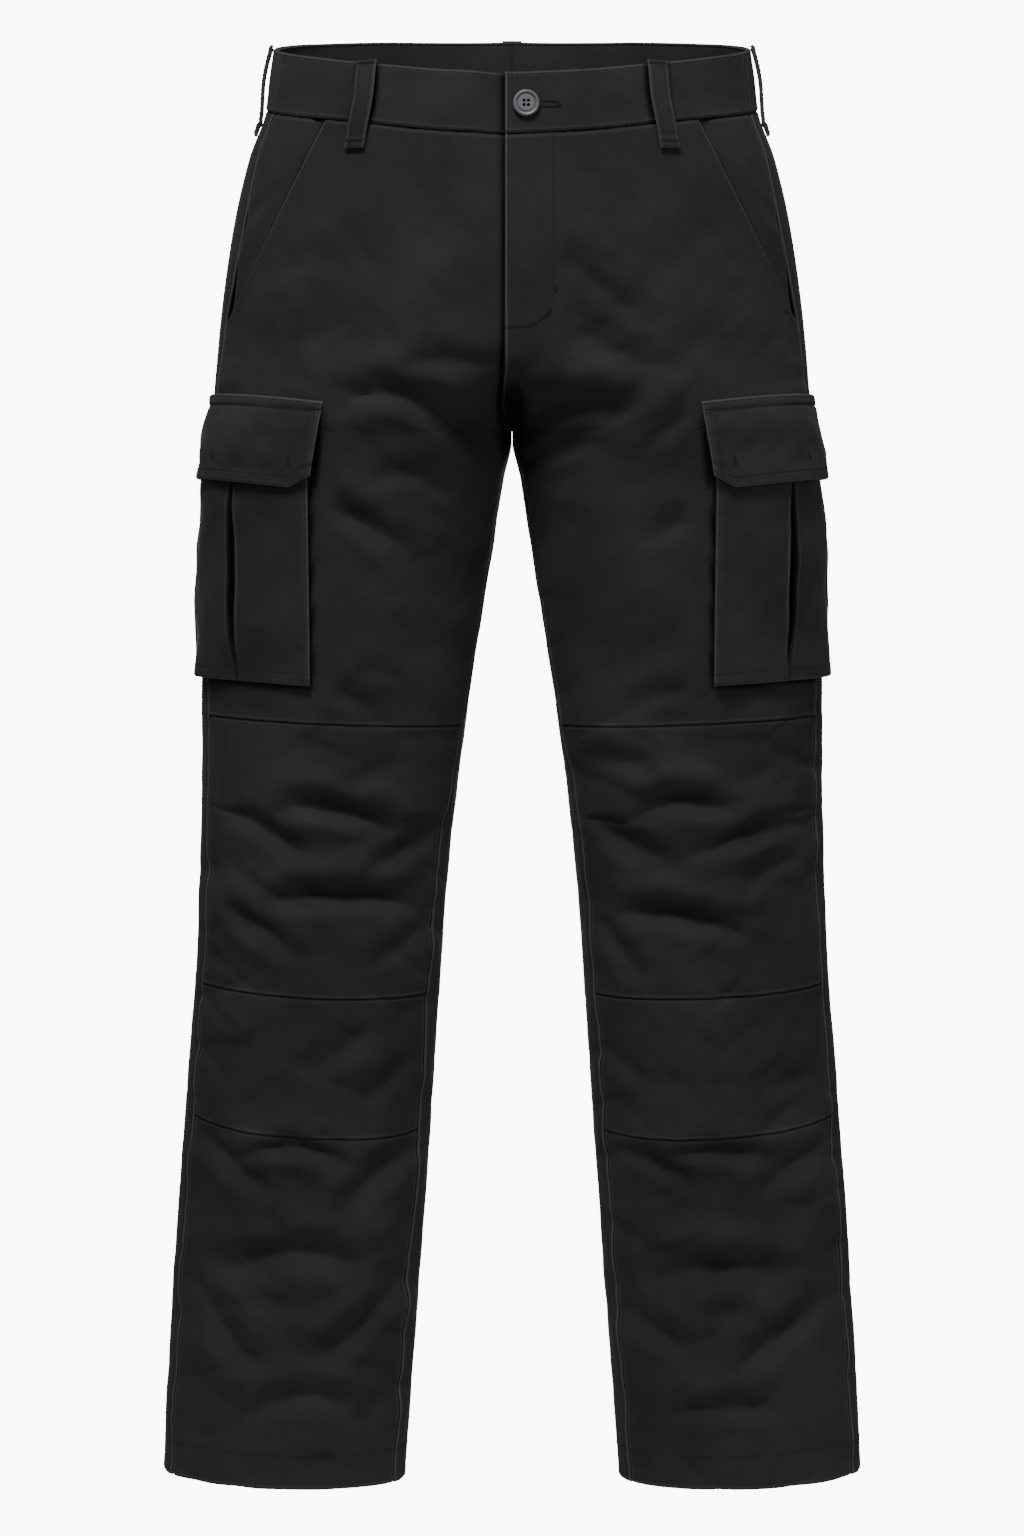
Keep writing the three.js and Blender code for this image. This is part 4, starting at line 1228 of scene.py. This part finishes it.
class PANTS_OT_allowances(bpy.types.Operator):
    """Make the seam allowances that lie behind each seam on the inside"""

    bl_idname = "pants.allowances"
    bl_label = "Seam Allowances"

    def execute(self, context):
        for word, side in SIDES:
            strips = {
                "side": self.down(side_seam, WAIST_SIDE - ALLOWANCE - 1.5, side, self.facing_drop),
                "inner": self.down(inseam, CROTCH - ALLOWANCE - 1.5, side, lambda x, z: -ALLOWANCE_DEPTH),
                "waist": self.waist(side),
            }
            for name, seam in (("knee", KNEE_TOP), ("knee_low", KNEE_LOW), ("shin", SHIN)):
                strips[name] = self.cross(seam, side)
            for name, cloth in strips.items():
                self.piece(f"cloth_allowance_{name}_{word}", cloth, side)
        self.piece("cloth_allowance_crotch", self.crotch(), LEFT)
        return {"FINISHED"}

    def piece(self, name, cloth, side):
        cloth_piece(name, mirrored(cloth, side), ALLOWANCE_THICK, (), "leg_twill")

    def strip(self, angle, z, lift, side):
        base, normal = base_point(angle, z), base_normal(angle, z)
        out = folds(angle, base, normal, side, bpy.context.scene.pants) + lift(base[..., 0], z)
        return Cloth(base, normal, out, 0 * out)

    def facing_drop(self, x, z):
        """Lower where the end of the hip facing lies between."""
        return -ALLOWANCE_DEPTH - 3 * smooth(-112, -130, z) * smooth(-206, -196, z)

    def down(self, seam, top, side, lift):
        """Behind a seam that runs down the leg."""
        end = cross_seam(HEM, seam(HEM[0])) + 1.2
        z = np.linspace(top, end, round((top - end) / 3))[None, :]
        across = np.linspace(-ALLOWANCE, ALLOWANCE, 5)[:, None]
        z = z + 0 * across
        return self.strip(shifted(seam(z), z, across), z, lift, side)

    def waist(self, side):
        start = angle_at(14 if side == LEFT else -UNDERLAP, WAIST_SIDE, "front")
        angle = np.linspace(start, -np.pi / 2, 150)[None, :]
        across = np.linspace(-ALLOWANCE, ALLOWANCE, 5)[:, None]
        share = np.where(np.sin(angle) > 0, 1.5, 0.4) * (0 if side == LEFT else 1)
        return self.strip(
            angle + 0 * across, waist_edge(angle, "seam") + across,
            lambda x, z: -ALLOWANCE_DEPTH - 1.5 + share * under_step(x, 0 * z), side,
        )

    def cross(self, seam, side):
        reach = ALLOWANCE + 1.5
        start, end = shifted(side_seam(seam[0]), seam[0], reach), shifted(inseam(seam[0]), seam[0], -reach)
        angle = np.linspace(start, end, 60)[None, :]
        across = np.linspace(-ALLOWANCE, ALLOWANCE, 5)[:, None]
        return self.strip(
            angle + 0 * across, cross_seam(seam, angle) + across, lambda x, z: -ALLOWANCE_DEPTH, side,
        )

    def crotch(self):
        """Under the crotch from front to back, across the middle."""
        way = np.linspace(-1, 1, 31)[None, :]
        across = np.linspace(0, ALLOWANCE, 4)[:, None]
        crest = CROTCH + 14 * way * way
        angle = np.where(way < 0, angle_at(0, crest, "front"), 2 * np.pi + angle_at(0, crest, "back"))
        z = crest - across * (1 - np.abs(way))
        angle = shifted(angle + 0 * z, z, across * way)
        half = self.strip(angle, z, lambda x, z: -ALLOWANCE_DEPTH - 1.8, LEFT)
        low = np.stack([0 * way[0], half.normal[0, :, 1] * np.abs(way[0]), np.abs(way[0]) - 1], -1)
        half.points[0] = half.base[0] - unit(low) * (ALLOWANCE_DEPTH + 1.8)
        half.points[0, :, 0] = 0
        half.base = half.points.copy()
        return both_halves(half)


class PANTS_OT_waistband(bpy.types.Operator):
    """Make the two front bands and the back band"""

    bl_idname = "pants.waistband"
    bl_label = "Waistband"

    def execute(self, context):
        settings = context.scene.pants
        thread = threads("waist")
        thick = settings.band_thickness / MM
        for word, side in SIDES:
            reach = -LAP if side == LEFT else -UNDERLAP
            dip = 0 if side == LEFT else (UNDER_STEP + 1.4) / UNDER_STEP
            cloth = mirrored(self.band(
                settings, side, side_seam, lambda z: angle_at(reach, z, "front"),
                lambda x, z: BAND_PROUD + dip * under_step(x, 0 * z) + band_waves(x, z, side), 200, side,
                lambda x, z: loop_shade(x, z) + (0 if side == LEFT else under_shade(x, z)),
                turned=("u1",) if side == LEFT else (),
            ), side)
            name = f"waistband_{word}"
            cloth_piece(f"cloth_{name}", cloth, thick, name, "band_twill")
            self.edge_stitches(thread, cloth)
            if side == LEFT:
                thread.row(*cloth.line("u1", EDGE_STITCH))
        cloth = self.back_band(settings)
        cloth_piece(
            "cloth_waistband_back", cloth, thick, "waistband_back", "band_twill",
        )
        self.edge_stitches(thread, cloth)
        return {"FINISHED"}

    def band(self, settings, side, left, right, lift, length, seed, shade, turned=(), seams="u0 u1 v0 v1"):
        cloth = panel(
            settings, side, lambda angle: waist_edge(angle, "top") + SEAM_GAP / 2,
            lambda angle: waist_edge(angle, "seam") + SEAM_GAP / 2, left, right, (length, 45),
            lift=lift, seed=seed, shade=shade, turned=turned, seams=seams,
            extra=(((length - 14, length - 1),), ()),
        )
        # Paler along the folded top edge: its wear and a painted highlight
        cloth.wear_and_painted_light = cloth.wear_and_painted_light + 0.5 * np.exp(-(((cloth.down - 0.8) / 0.9) ** 2))
        return cloth

    def back_band(self, settings):
        half = self.band(
            settings, LEFT, side_seam, lambda z: -np.pi / 2 + 0 * z,
            lambda x, z: BAND_PROUD + 0.5 * ripple(x + 11, 2, (61, 37, 23)) * smooth(0, 20, x), 215, 4,
            # Painted shade along the centre back seam, and a painted paler patch across the middle of the
            # back
            lambda x, z: 0.3 * np.exp(-((x / 1.4) ** 2)) - 0.08 * np.exp(-((x / 50) ** 2)),
            seams="u0 v0 v1",
        )
        for grid in (half.base, half.points, half.normal):
            grid[:] = grid[::-1].copy()
        half.wear_and_painted_light = half.wear_and_painted_light[::-1]
        return both_halves(half)

    def edge_stitches(self, thread, cloth):
        for edge in ("v0", "v1"):
            thread.row(*cloth.line(edge, EDGE_STITCH))


class PANTS_OT_belt_loops(bpy.types.Operator):
    """Make the five belt loops"""

    bl_idname = "pants.belt_loops"
    bl_label = "Belt Loops"

    def execute(self, context):
        settings = context.scene.pants
        for name, centre, side in (
            ("loop_front_left", LOOP_FRONT, LEFT), ("loop_front_right", LOOP_FRONT, RIGHT),
            ("loop_side_left", LOOP_SIDE, LEFT), ("loop_side_right", LOOP_SIDE, RIGHT),
            ("loop_back", LOOP_BACK, LEFT),
        ):
            cloth = self.strip(centre, side)
            cloth_piece(f"cloth_{name}", cloth, LOOP_THICK, name, "band_twill")
            thread = threads("waist")
            for edge in ("u0", "u1"):
                thread.row(*cloth.line(edge, 3.2))
            for share in (0.035, 0.9):
                middle = cloth.points[:, round(share * (cloth.points.shape[1] - 1))]
                facing = cloth.normal[:, round(share * (cloth.points.shape[1] - 1))]
                thread.bars(middle[1:-1], facing[1:-1], 0.8, 2.6)
        return {"FINISHED"}

    def strip(self, centre, side):
        v = np.linspace(0, 1, 56)[None, :]
        u = np.array([0, 0.05, 0.14, 0.28, 0.42, 0.58, 0.72, 0.86, 0.95, 1])[:, None]
        z = lerp(waist_edge(centre, "top") + LOOP_OVER, waist_edge(centre, "seam") - LOOP_BELOW, v) + 0 * u
        angle = shifted(centre + 0 * z, z, LOOP_WIDTH * (0.5 - u))
        base, normal = base_point(angle, z), base_normal(angle, z)
        bow = np.maximum(0, np.sin(np.pi * np.clip(v / 0.86, 0, 1))) ** 0.6
        lift = BAND_PROUD + LOOP_THICK + np.where(v > 0.86, LOOP_LAY, lerp(LOOP_LAY, LOOP_STAND, bow))
        lift = lift + 0.7 * smooth(0.86, 0.89, v) - 0.6 * smooth(0.97, 1, v)
        edge = np.minimum(u, 1 - u) * LOOP_WIDTH
        rolled = -0.5 * np.exp(-((edge / 0.8) ** 2))
        low = 0.2 * np.exp(-(((np.abs(u - 0.5) * LOOP_WIDTH - 3.2) / 2) ** 2))
        # Paler along the loop's edges: their wear and a painted highlight
        wear_and_painted_light = 0.6 * np.exp(-((edge / 1.6) ** 2)) + 0 * v
        return mirrored(Cloth(base, normal, lift + rolled - low, wear_and_painted_light), side)


class PANTS_OT_cargo_pockets(bpy.types.Operator):
    """Make the pleated cargo pockets, their gussets and their flaps"""

    bl_idname = "pants.cargo_pockets"
    bl_label = "Cargo Pockets"

    def execute(self, context):
        settings = context.scene.pants
        for word, side in SIDES:
            thread = threads(word)
            pocket, gusset, flap = self.pocket(settings, side), self.gusset(side), self.flap(settings, side)
            for name, cloth, thick, slot, held in (
                ("cargo_pocket", pocket, POCKET_THICK, "leg_twill", "hung"),
                ("cargo_gusset", gusset, GUSSET_THICK, "leg_twill", "folded"),
                ("cargo_flap", flap, settings.flap_thickness / MM, "band_twill", "hung"),
            ):
                cloth_piece(
                    f"cloth_{name}_{word}", cloth, thick, f"{name}_{word}", slot,
                )
            for edge in ("u0", "u1", "v1"):
                thread.row(*pocket.line(edge, EDGE_STITCH))
            thread.row(*pocket.line("v1", 9.0))
            for edge in ("u0", "u1", "v1"):
                thread.row(*flap.line(edge, 1.8, start=0.02, end=0.98))
                thread.row(*flap.line(edge, 8.0, start=0.1, end=0.96))
            thread.row(*flap.line("v0", 1.8))
            thread.row(*flap.line("v0", FLAP_ATTACH))
            self.tacks(thread, flap)
        return {"FINISHED"}

    def place(self, edge, rise, span, across, level):
        front = angle_at(edge, level, "front")
        angle = front - span * across
        z = level + rise * (base_point(angle, level)[..., 0] - edge)
        return angle, z

    def cloth(self, angle, z, lift, wear_and_painted_light, side):
        base, normal = base_point(angle, z), base_normal(angle, z)
        out = folds(angle, base, normal, side, bpy.context.scene.pants) + lift
        return mirrored(Cloth(base, normal, out, wear_and_painted_light + 0 * out), side)

    def pocket(self, settings, side):
        span_mm, tall = POCKET_SPAN * 100, POCKET_TOP - POCKET_LOW
        step = settings.grid_step * 0.8
        u = spread(span_mm, step, extra=[(at * span_mm - 9, at * span_mm + 9) for at in PLEATS])[:, None]
        v = spread(tall, step)[None, :]
        level = lerp(POCKET_TOP, POCKET_LOW, v) + 0 * u
        angle, z = self.place(POCKET_EDGE, POCKET_RISE, POCKET_SPAN, u, level)
        lift = lerp(1.2, POCKET_PROUD, smooth(0, 0.3, v)) + POCKET_THICK + 0 * angle
        sewn = 1 - smooth(0.93, 0.95, v)
        open_share = sewn * np.sin(np.pi * np.clip((v - 0.19) / 0.76, 0, 1)) ** 0.8
        wear_and_painted_light = 0
        for order, at in enumerate(PLEATS):
            sway = 2.4 * np.sin(np.pi * np.clip(v * 1.1, 0, 1)) * (1 if order else -1)
            off = (u - at) * span_mm + sway
            mouth = 0.6 + 2.9 * open_share
            # Painted shade in the open pleat slits, and a painted highlight along their rolled edges
            wear_and_painted_light = wear_and_painted_light - np.exp(-((np.abs(off) / (mouth + 0.9)) ** 6)) * (0.4 + 0.9 * open_share)
            wear_and_painted_light = wear_and_painted_light + 0.7 * open_share * np.exp(-(((np.abs(off) - mouth - 2) / 0.8) ** 2))
            lift = lift - (0.8 + 4.6 * open_share) * np.exp(-(np.abs(off / mouth) ** 4))
            lift = lift + (0.2 + 1.2 * open_share) * np.exp(-(((np.abs(off) - mouth - 1.4) / 1.8) ** 2))
        lift = lift + 0.8 * undulation(u * span_mm, z, side + 3) * smooth(0, 0.1, u) * smooth(0, 0.1, 1 - u)
        distances = (u * span_mm, (1 - u) * span_mm, (1 - v) * tall)
        places = (v * tall, v * tall, u * span_mm)
        wear_and_painted_light = wear_and_painted_light + 0 * lift
        for order, (distance, place) in enumerate(zip(distances, places)):
            lift = lift + seam_lift(distance, place, 0.4, order + 2 * side, settings)
            # Paler along the pocket's edges: their wear and a painted highlight
            wear_and_painted_light = wear_and_painted_light + 0.7 * np.exp(-((distance / 2.2) ** 2))
        return self.cloth(angle, z, lift, wear_and_painted_light, side)

    def gusset(self, side):
        span_mm, tall = POCKET_SPAN * 100, POCKET_TOP - POCKET_LOW
        steps = 60
        runs = []
        for length in np.linspace(GUSSET_INSET, GUSSET_INSET + GUSSET_WIDTH, 8):
            u, v = length / span_mm, length / tall
            corners = np.array([(u, 0), (u, 1 - v), (1 - u, 1 - v), (1 - u, 0)])
            share = np.linspace(0, 3, 3 * steps + 1)
            runs.append(np.stack([np.interp(share, range(4), corners[:, k]) for k in range(2)], -1))
        runs = np.array(runs)
        level = lerp(POCKET_TOP, POCKET_LOW, runs[..., 1])
        angle, z = self.place(POCKET_EDGE, POCKET_RISE, POCKET_SPAN, runs[..., 0], level)
        # The whole gusset is painted in deep shade, darker than the cloth
        return self.cloth(angle, z, GUSSET_LIFT + GUSSET_THICK + 0 * z, -0.8 + 0 * z, side)

    def flap(self, settings, side):
        span_mm, tall = FLAP_SPAN * 100, FLAP_TOP - FLAP_LOW
        step = settings.grid_step * 0.7
        u = spread(span_mm, step)[:, None]
        v = spread(tall, step, extra=[(6, 12)])[None, :]
        end = np.minimum(u, 1 - u) * span_mm
        low = FLAP_LOW + FLAP_CHAMFER * (1 - np.clip(end / 14, 0, 1))
        edge = FLAP_EDGE + FLAP_LEAN * v
        angle, z = self.place(edge, FLAP_RISE, FLAP_SPAN, u, lerp(FLAP_TOP, low, v))
        down = v * tall
        lift = np.interp(down, [0, 8, 20, 40, tall], [0.7, 1, 3.8, 5.8, 7.8]) + 2.6 + 0 * u
        lift = lift + 0.8 * v * ripple(u * span_mm, side, (61, 43, 27))
        waves = 0.7 * undulation(1.4 * u * span_mm, 1.6 * z, side + 5)
        lift = lift + waves * smooth(0, 0.3, v) * (1 - smooth(0.75, 0.95, v))
        lift = lift - 0.7 * np.exp(-(((down - FLAP_ATTACH) / 1.2) ** 2))
        distances = (u * span_mm, (1 - u) * span_mm, (1 - v) * tall, down)
        places = (down, down, u * span_mm, u * span_mm)
        wear_and_painted_light = 0 * lift
        for order, (distance, place) in enumerate(zip(distances, places)):
            lift = lift + seam_lift(distance, place, 0.4, order + 3 * side, settings)
            # Paler along the flap's edges: their wear and a painted highlight
            wear_and_painted_light = wear_and_painted_light + 0.7 * np.exp(-((distance / 2.2) ** 2))
        return self.cloth(angle, z, lift, wear_and_painted_light, side)

    def tacks(self, thread, flap):
        """Plain bartacks near the ends of the flap."""
        columns, rows = flap.points.shape[:2]
        for share in (0.12, 0.4, 0.6, 0.88):
            i, j = round(share * (columns - 1)), round(0.66 * (rows - 1))
            way = unit(flap.points[i, j + 1] - flap.points[i, j - 1])
            thread.bartack(flap.points[i, j], way, flap.normal[i, j], length=7)


class PANTS_OT_fly(bpy.types.Operator):
    """Sew the fly, the slash pocket ends and the buttonhole"""

    bl_idname = "pants.fly"
    bl_label = "Fly Stitching"

    def execute(self, context):
        thread = threads("waist")
        wide = FLY_STITCH - FLY_BEND
        turn = [
            (FLY_BEND + wide * math.cos(t), FLY_TURN - FLY_DROP * math.sin(t))
            for t in np.linspace(0, math.pi / 2, 9)
        ]
        outline = [(FLY_STITCH, -56), (FLY_STITCH, -110), *turn, (0, FLY_TURN - FLY_DROP - 1)]
        thread.row(*along_front(outline, LEFT, count=120))
        for x, z, run, drop in ((31, -163, 0, 6), (26, -180, 4, 5)):
            ends = ((x - run / 2, z - drop / 2), (x + run / 2, z + drop / 2))
            thread.bars(*along_front(ends, LEFT, count=5), 0.75, 1.8)
        for side in (LEFT, RIGHT):
            for x, z in ((SLASH_LOW_X - 5, SLASH_LOW_Z + 6),):
                points, normals = along_front(((x - 5, z + 2), (x + 2, z - 2)), side, count=5)
                thread.bars(points, normals, 0.75, 2.2)
        self.buttonhole(thread)
        thread.row(*along_front(((7.5, -205), (8.5, -232)), LEFT, count=12))
        return {"FINISHED"}

    def buttonhole(self, thread):
        for arm in (-1, 1):
            places = [(BUTTON_X - 2, BUTTON_Z + arm * 1.9), (BUTTONHOLE_END - 5, BUTTON_Z + arm * 1.9),
                      (BUTTONHOLE_END, BUTTON_Z)]
            points, normals = along_front(places, LEFT, lift=BAND_PROUD, count=40)
            thread.bars(points, normals, 0.6, 2.4, rise=0.2)


class PANTS_OT_button(bpy.types.Operator):
    """Make the four-hole button, with thread in each hole"""

    bl_idname = "pants.button"
    bl_label = "Button"

    def execute(self, context):
        angle = angle_at(BUTTON_X, BUTTON_Z, "front")
        seat, facing = base_point(angle, BUTTON_Z), base_normal(angle, BUTTON_Z)
        turn = Vector(facing).to_track_quat("Z", "Y").to_matrix().to_4x4()
        place = Matrix.Translation(Vector(seat + facing * (BAND_PROUD + BUTTON_LAY)) * MM) @ turn
        shape = bmesh.new()
        profile = [
            (0, 0), (7.5, 0), (9, 0.5), (9.5, 1.4), (9.4, 2.4), (8.9, 3.1), (8.3, 3.4), (7.5, 3.2),
            (7, 2.2), (6.5, 1.9), (6, 2.2), (5.5, 2.6), (0, 2.5),
        ]
        verts = [shape.verts.new((x * MM, 0, z * MM)) for x, z in profile]
        for first, second in zip(verts, verts[1:]):
            shape.edges.new((first, second))
        bmesh.ops.spin(
            shape, geom=shape.verts[:] + shape.edges[:], cent=(0, 0, 0), axis=(0, 0, 1),
            angle=2 * math.pi, steps=64, use_merge=True,
        )
        bmesh.ops.remove_doubles(shape, verts=shape.verts, dist=1e-6)
        bmesh.ops.recalc_face_normals(shape, faces=shape.faces)
        mesh = bpy.data.meshes.new("button_disc")
        shape.to_mesh(mesh)
        shape.free()
        disc = new_object("button_disc", mesh)
        drill = self.drills()
        cut = disc.modifiers.new("Holes", "BOOLEAN")
        cut.object = drill
        cut.solver = "EXACT"
        done = baked(disc)
        disc.data = done
        bpy.data.objects.remove(drill)
        done.transform(place)
        done.shade_smooth()
        done.set_sharp_from_angle(angle=math.radians(35))
        done.materials.clear()
        done.materials.append(button_material())
        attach(disc, "root")
        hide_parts("button")
        self.sew(place, facing)
        return {"FINISHED"}

    def drills(self):
        shape = bmesh.new()
        for quarter in range(4):
            turn = math.radians(45 + 90 * quarter)
            made = bmesh.ops.create_cone(
                shape, cap_ends=True, segments=16, radius1=1.15 * MM, radius2=1.15 * MM, depth=14 * MM,
            )
            bmesh.ops.translate(
                shape, verts=made["verts"], vec=(2.2 * MM * math.cos(turn), 2.2 * MM * math.sin(turn), 0),
            )
        mesh = bpy.data.meshes.new("drills")
        shape.to_mesh(mesh)
        shape.free()
        return new_object("drills", mesh)

    def sew(self, place, facing):
        """Thread that fills the lower part of each hole."""
        for quarter in range(4):
            turn = math.radians(45 + 90 * quarter)
            x, y = 2.2 * math.cos(turn), 2.2 * math.sin(turn)
            ends = [place @ (Vector((x + k, y, 0.9)) * MM) for k in (-0.8, 0.8)]
            ends = np.array([np.array(end) / MM for end in ends])
            threads("waist").bars(ends, np.array([facing, facing]), 0.5, 1.5, rise=0)


class PANTS_OT_threads(bpy.types.Operator):
    """Turn the gathered stitches into meshes"""

    bl_idname = "pants.threads"
    bl_label = "Threads"

    def execute(self, context):
        for name, thread in THREADS.items():
            thread.build(f"stitches_{name}", thread_material())
        THREADS.clear()
        return {"FINISHED"}


OPERATORS = (
    PANTS_OT_stage,
    PANTS_OT_front_thighs,
    PANTS_OT_knees,
    PANTS_OT_backs,
    PANTS_OT_hip_facings,
    PANTS_OT_allowances,
    PANTS_OT_waistband,
    PANTS_OT_belt_loops,
    PANTS_OT_cargo_pockets,
    PANTS_OT_fly,
    PANTS_OT_button,
    PANTS_OT_threads,
)


class PANTS_PT_panel(bpy.types.Panel):
    """Builds the pants, in order"""

    bl_label = "Cargo Pants"
    bl_idname = "PANTS_PT_panel"
    bl_space_type = "VIEW_3D"
    bl_region_type = "UI"
    bl_category = "Pants"

    def draw(self, context):
        settings = context.scene.pants
        for name in PantsSettings.__annotations__:
            self.layout.prop(settings, name)
        for operator in OPERATORS:
            self.layout.operator(operator.bl_idname)


def register():
    for one in (PantsSettings, *OPERATORS, PANTS_PT_panel):
        bpy.utils.register_class(one)
    bpy.types.Scene.pants = bpy.props.PointerProperty(type=PantsSettings)


def unregister():
    del bpy.types.Scene.pants
    for one in reversed((PantsSettings, *OPERATORS, PANTS_PT_panel)):
        bpy.utils.unregister_class(one)


def main():
    register()
    for operator in OPERATORS:
        name = operator.bl_idname.split(".")[1]
        getattr(bpy.ops.pants, name)()


if __name__ == "__main__":
    main()
